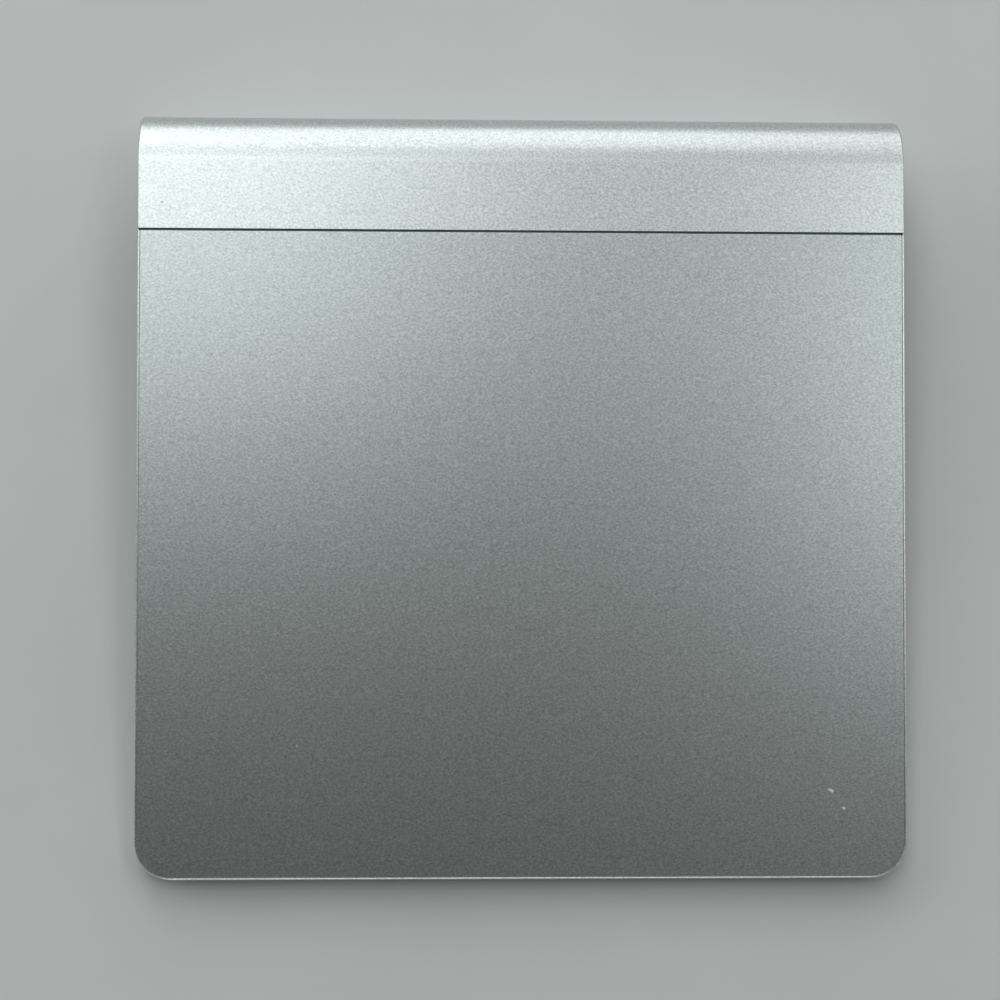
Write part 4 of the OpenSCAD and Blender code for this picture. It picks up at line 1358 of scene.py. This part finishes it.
# Power switch
# A small square push switch on the round board inside the right end of the tube: a black moulded
# body, stepped where its halves snap together, with a grey key towards the power button.
power_corner = 0.5
power_foot = 0.05
power_lid_t = 0.3
power_lid_in = 0.1
power_lid_edge = 0.06
power_throw = 0.55
power_key_edge = 0.1
power_key_round = 0.15
power_steps = 48
power_low, power_high = measured("power_switch")
power_key_low, power_key_high = measured("power_switch_button")
power_key_r = (power_key_high.z - power_key_low.z) / 2
power_half = (power_high.z - power_low.z) / 2
power_levels = [
    (power_foot, power_low.x),
    (0, power_low.x + power_foot),
    (0, power_high.x - power_lid_t),
    (power_lid_in, power_high.x - power_lid_t),
    (power_lid_in, power_high.x - power_lid_edge),
    (power_lid_in + power_lid_edge, power_high.x),
]
power_rings = []
for inset, x in power_levels:
    outline = rounded(power_half - inset, power_half - inset, power_corner)
    power_rings.append([set_down(x, tube_u + u, n - tube_r) for u, n in outline])
power_bore = turned(bmesh.new(), [
    (power_key_low.x - power_throw, power_key_r + bore_play),
    (power_high.x + cut_past, power_key_r + bore_play),
], steps=power_steps)
power_key_shape = turned(bmesh.new(), [
    (power_key_low.x, power_key_r),
    (power_key_high.x - power_key_edge, power_key_r),
    (power_key_high.x, power_key_r - power_key_round),
], steps=power_steps)
power_body = made_piece("power_switch_body", skin(bmesh.new(), power_rings), moulded_black)
show(cut(power_body, power_bore), "base", "dark_plastic", "power_switch")
power_key = made_piece("power_switch_key", power_key_shape, moulded_grey)
show(power_key, "power_plunger", "grey_plastic", "power_switch_button")

# End plug
# The right end of the tube is closed by a ring turned from aluminium and pressed in, which guides
# the power button. The lathe leaves fine rings on its face, under the clear anodising.
plug_gap = 0.05
plug_r = mouth_r - plug_gap
plug_bore = 4.6
plug_edge = 0.15
lathe_ring_mm = 0.12
lathe_relief_mm = 0.002


def lathe_turned(name, dark, light):
    """Aluminium with the fine rings that the lathe leaves on an end face."""
    finish = grained(name, dark, light, grain_mm=0.4, rough=(0.28, 0.32), relief_mm=0.004, metallic=1.0)
    tree = finish.node_tree
    ends = {0: on_piece(tree), 1: tube_line}
    place = add(tree, "ShaderNodeVectorMath", ends, operation="SUBTRACT").outputs[0]
    flat = add(tree, "ShaderNodeVectorMath", {0: place, 1: (0, 1, 1)}, operation="MULTIPLY").outputs[0]
    out = add(tree, "ShaderNodeVectorMath", {0: flat}, operation="LENGTH").outputs["Value"]
    rings = reckon(tree, "SINE", reckon(tree, "MULTIPLY", out, 2 * pi / (lathe_ring_mm * MM)))
    relief = add(tree, "ShaderNodeBump", {
        "Height": rings,
        "Distance": lathe_relief_mm * MM,
        "Strength": 0.6,
    })
    tree.links.new(relief.outputs[0], tree.nodes["Principled BSDF"].inputs["Normal"])
    return finish


turned_aluminium = lathe_turned("turned_aluminium", dark=(194, 201, 201), light=(212, 219, 219))
plug_low, plug_high = measured("end_plug")
plug_shape = turned(bmesh.new(), [
    (plug_low.x, plug_r),
    (plug_high.x - plug_edge, plug_r),
    (plug_high.x, plug_r - plug_edge),
    (plug_high.x, plug_bore + plug_edge),
    (plug_high.x - plug_edge, plug_bore),
    (plug_low.x, plug_bore),
], looped=True)
plug = made_piece("tube_plug", plug_shape, turned_aluminium)
show(even_shading(plug), "base", "aluminium", "end_plug")

# Power button
# A round button turned from the same aluminium, with a gently crowned face. A collar behind the plug
# keeps it in, and its stem pushes the switch's key.
push_r = 4.5
push_crown = 0.12
push_edge = 0.3
push_collar_r = 5.5
push_collar_gap = 0.05
push_stem_r = 1.5
push_stem_l = 1.0
push_stem_edge = 0.1
crown_radii = (0.4, 1.2, 2.0, 2.8, 3.5, push_r - push_edge)
push_low, push_high = measured("power_button")
crown = [(push_high.x - push_crown * (r / push_r) ** 2, r) for r in crown_radii]
push_rim_x = push_high.x - push_crown
crown += [
    (push_rim_x - push_edge * (1 - sin(a)), push_r - push_edge * (1 - cos(a))) for a in rounding[-2::-1]
]
push_collar_x = plug_low.x - push_collar_gap
push_shape = turned(bmesh.new(), crown + [
    (push_collar_x, push_r),
    (push_collar_x, push_collar_r),
    (push_low.x + push_stem_l, push_collar_r),
    (push_low.x + push_stem_l, push_stem_r),
    (push_low.x + push_stem_edge, push_stem_r),
    (push_low.x, push_stem_r - push_stem_edge),
])
push = made_piece("power_push", push_shape, turned_aluminium)
show(even_shading(push), "power_key", "aluminium", "power_button")

# Threaded ring
# A ring of glass-filled nylon bonded into the left mouth of the tube, with the thread that takes the
# cap. It is moulded in one piece with its thread.
dress(moulded_grey, "thread_ring")

# Battery cap
# Turned from aluminium bar: a disc with a slot for a coin, and a hollow barrel that screws into the
# ring and holds the contact spring. The rounded slot is sunk with a disc cutter.
cap_r = 7.9
cap_edge = 0.3
cap_disc_t = 1.8
cap_steps = 128
core_r = 6.9
core_edge = 0.3
cup_r = 5.6
cup_edge = 0.1
cup_floor_r = 1.0
face_radii = (6.0, 4.0, 2.0, 0.6)
slot_w = 1.8
slot_d = 1.1
slot_cutter_r = 9.0
slot_cutter_steps = 96
cap_low, cap_high = measured("battery_cap")
disc_x = cap_low.x + cap_disc_t
cap_rim = [(cap_low.x + cap_edge * (1 - sin(a)), cap_r - cap_edge * (1 - cos(a))) for a in rounding]
cap_face = [(cap_low.x, r) for r in face_radii]
cap_shape = turned(bmesh.new(), [
    (disc_x, cup_floor_r),
    (disc_x, cup_r),
    (cap_high.x - cup_edge, cup_r),
    (cap_high.x, cup_r + cup_edge),
    (cap_high.x, core_r - core_edge),
    (cap_high.x - core_edge, core_r),
    (disc_x, core_r),
    (disc_x, cap_r),
] + cap_rim + cap_face, steps=cap_steps)
cutter_turns = [2 * pi * i / slot_cutter_steps for i in range(slot_cutter_steps)]
cutter_x = cap_low.x + slot_d - slot_cutter_r
cutter_rim = [
    (cutter_x + slot_cutter_r * cos(t), tube_u + slot_cutter_r * sin(t)) for t in cutter_turns
]
slot_levels = (-slot_w / 2, slot_w / 2)
coin_slot = skin(bmesh.new(), [[set_down(x, u, n - tube_r) for x, u in cutter_rim] for n in slot_levels])
cap = cut(made_piece("cap", cap_shape, turned_aluminium), coin_slot)
show(even_shading(cap), "cap", "aluminium", "battery_cap")

# Cap thread
# Two turns of a coarse thread, cut on the cap's barrel in the same lathe. The ridge runs out to
# nothing at both ends, where the tool goes in and comes away.
crest_r = 7.5
thread_pitch = 1.5
thread_turns = 2.0
thread_crest = 0.25
thread_flank = pi / 6
thread_sunk = 0.1
thread_start = 1.0
thread_lead = 0.75
thread_steps = 48
run_out_turn = 0.125
run_out_least = 0.05
thread_root_r = core_r - thread_sunk
thread_depth = crest_r - thread_root_r
thread_root = thread_crest + 2 * thread_depth * tan(thread_flank)
thread_x = disc_x + thread_start + thread_lead * thread_pitch
tube_lean = Vector(Matrix((-up, along, across)).transposed().to_euler())
thread_sizes = {
    "Turns": thread_turns,
    "Radius": thread_root_r * MM,
    "Climb": thread_turns * thread_pitch * MM,
    "Depth": thread_depth * MM,
    "Half root": thread_root / 2 * MM,
    "Half crest": thread_crest / 2 * MM,
    "Place": set_down(thread_x, tube_u, -tube_r),
    "Lean": tube_lean,
    "Finish": turned_aluminium,
}


def wound(tree, turns, first_r, last_r, climb, steps):
    """A right-handed coil about its own axis, with its normals pointing straight out."""
    coil = add(tree, "GeometryNodeCurveSpiral", {
        "Resolution": steps,
        "Rotations": turns,
        "Start Radius": first_r,
        "End Radius": last_r,
        "Height": climb,
        "Reverse": True,
    })
    return add(tree, "GeometryNodeSetCurveNormal", {"Curve": coil.outputs[0]}, mode="Z_UP").outputs[0]


def laid(tree, geometry, place, lean):
    """Geometry that was made about its own axis, set down on the tube's line."""
    turned_to = add(tree, "FunctionNodeEulerToRotation", {0: lean})
    return add(tree, "GeometryNodeTransform", {
        "Geometry": geometry,
        "Translation": place,
        "Rotation": turned_to.outputs[0],
    }).outputs[0]


thread_tree, given = new_tree("cap_thread", **thread_sizes)
helix = wound(thread_tree, given["Turns"], given["Radius"], given["Radius"], given["Climb"], thread_steps)
flanks = add(thread_tree, "GeometryNodeCurvePrimitiveQuadrilateral", mode="POINTS")
flank_points = (
    ("Point 1", 0.0, "Half root", -1),
    ("Point 2", given["Depth"], "Half crest", -1),
    ("Point 3", given["Depth"], "Half crest", 1),
    ("Point 4", 0.0, "Half root", 1),
)
for corner, depth, half, side in flank_points:
    point = add(thread_tree, "ShaderNodeCombineXYZ", {
        "X": depth,
        "Y": reckon(thread_tree, "MULTIPLY", given[half], side),
    })
    thread_tree.links.new(point.outputs[0], flanks.inputs[corner])
gone = add(thread_tree, "GeometryNodeSplineParameter").outputs["Factor"]
from_end = reckon(thread_tree, "PINGPONG", gone, 0.5)
run_out = spread(thread_tree, from_end, run_out_least, 1.0, start=0.0, end=run_out_turn)
ridge = add(thread_tree, "GeometryNodeCurveToMesh", {
    "Curve": helix,
    "Profile Curve": flanks.outputs[0],
    "Scale": run_out,
    "Fill Caps": True,
})
end_tree(thread_tree, laid(thread_tree, ridge.outputs[0], given["Place"], given["Lean"]), given["Finish"])
show(grown("cap_thread_ridge", thread_tree, **thread_sizes), "cap", "aluminium")

# Cap seal
# A ring moulded in black rubber that sits in the corner under the cap's disc. It is squeezed against
# the threaded ring when the cap is closed, and comes out with the cap.
seal_steps = 16
ring_rubber = grained(
    "ring_rubber", dark=(20, 20, 21), light=(30, 30, 31), grain_mm=0.2,
    rough=(0.45, 0.6), relief_mm=0.006,
)
seal_low, seal_high = measured("cap_seal")
seal_x = (seal_low.x + seal_high.x) / 2
seal_r = (seal_high.z - seal_low.z) / 2
wire_r = (seal_high.x - seal_low.x) / 2
seal_turns = [2 * pi * i / seal_steps for i in range(seal_steps)]
seal_section = [(seal_x + wire_r * cos(t), seal_r - wire_r + wire_r * sin(t)) for t in seal_turns]
seal = made_piece("seal_ring", turned(bmesh.new(), seal_section, looped=True), ring_rubber)
show(seal, "cap", "seal_rubber", "cap_seal")

# Contact spring
# A tapered coil of nickel-plated steel wire, sprung into the cap's cup. It presses on the flat end of
# the first cell, and joins it to the cap.
spring_wire = 0.7
spring_turns = 4.0
spring_steps = 36
spring_base_r = 4.95
spring_tip_r = 2.2
wire_steps = 12
spring_low, spring_high = measured("cap_spring")
spring_sizes = {
    "Turns": spring_turns,
    "Base radius": spring_base_r * MM,
    "Tip radius": spring_tip_r * MM,
    "Climb": (spring_high.x - spring_low.x - spring_wire) * MM,
    "Wire radius": spring_wire / 2 * MM,
    "Place": set_down(spring_low.x + spring_wire / 2, tube_u, -tube_r),
    "Lean": tube_lean,
    "Finish": nickel_plate,
}
spring_tree, given = new_tree("contact_spring", **spring_sizes)
coil = wound(
    spring_tree, given["Turns"], given["Base radius"], given["Tip radius"], given["Climb"], spring_steps,
)
wire = add(spring_tree, "GeometryNodeCurvePrimitiveCircle", {
    "Resolution": wire_steps,
    "Radius": given["Wire radius"],
})
winding = add(spring_tree, "GeometryNodeCurveToMesh", {
    "Curve": coil,
    "Profile Curve": wire.outputs[0],
    "Fill Caps": True,
})
end_tree(spring_tree, laid(spring_tree, winding.outputs[0], given["Place"], given["Lean"]), given["Finish"])
show(grown("contact_coil", spring_tree, **spring_sizes), "cap_carriage", "steel", "cap_spring")

# Bottom cover
# A flat sheet of the same aluminium as the tray, let into its underside and held by a frame of foam
# tape. Two round holes, countersunk a little, let the front feet through.
cover_gap = 0.1
cover_bond = 0.1
cover_edge = 0.1
hole_play = 0.3
hole_break = 0.15
hole_r = foot_r + hole_play
cover_in = lip_w + cover_gap
cover_back = cover_u1 - cover_gap
cover_shape = layered(bmesh.new(), [
    (cover_in + cover_edge, cover_back - cover_edge, -slab_t),
    (cover_in, cover_back, -slab_t + cover_edge),
    (cover_in, cover_back, -inner_n - cover_bond),
])
hole_levels = [
    (hole_r + hole_break, -slab_t - cut_past),
    (hole_r + hole_break, -slab_t),
    (hole_r, -slab_t + hole_break),
    (hole_r, -inner_n + cut_past),
]
foot_holes = bmesh.new()
for side in (-1, 1):
    post(foot_holes, side * abs(foot_x), foot_u, hole_levels, foot_steps)
cover = cut(made_piece("cover_sheet", cover_shape, blasted_aluminium), foot_holes)
show(even_shading(cover), "base", "aluminium", "bottom_cover")
dress(foam_tape, "cover_adhesive")

# Rear foot
# A strip of the same pale rubber as the front pads, pressed and glued into a groove along the bottom
# of the tube. Its edges and corners are moulded round.
strip_round = 0.6
strip_corner = 0.8
strip_low, strip_high = [Vector(corner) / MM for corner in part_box("rear_foot")]
strip_middle = (strip_low + strip_high) / 2
strip_half = (strip_high - strip_low) / 2
strip_levels = [(strip_round * (1 - cos(a)), strip_round * (1 - sin(a))) for a in rounding[::-1]]
strip_rings = []
for inset, z in strip_levels + [(0, strip_high.z)]:
    outline = rounded(strip_half.x - inset, strip_half.y - inset, strip_corner - inset)
    strip_rings.append([MM * Vector((strip_middle.x + x, strip_middle.y + y, z)) for x, y in outline])
rear_strip = made_piece("rear_strip", skin(bmesh.new(), strip_rings), pad_rubber)
show(rear_strip, "base", "foot_rubber", "rear_foot")
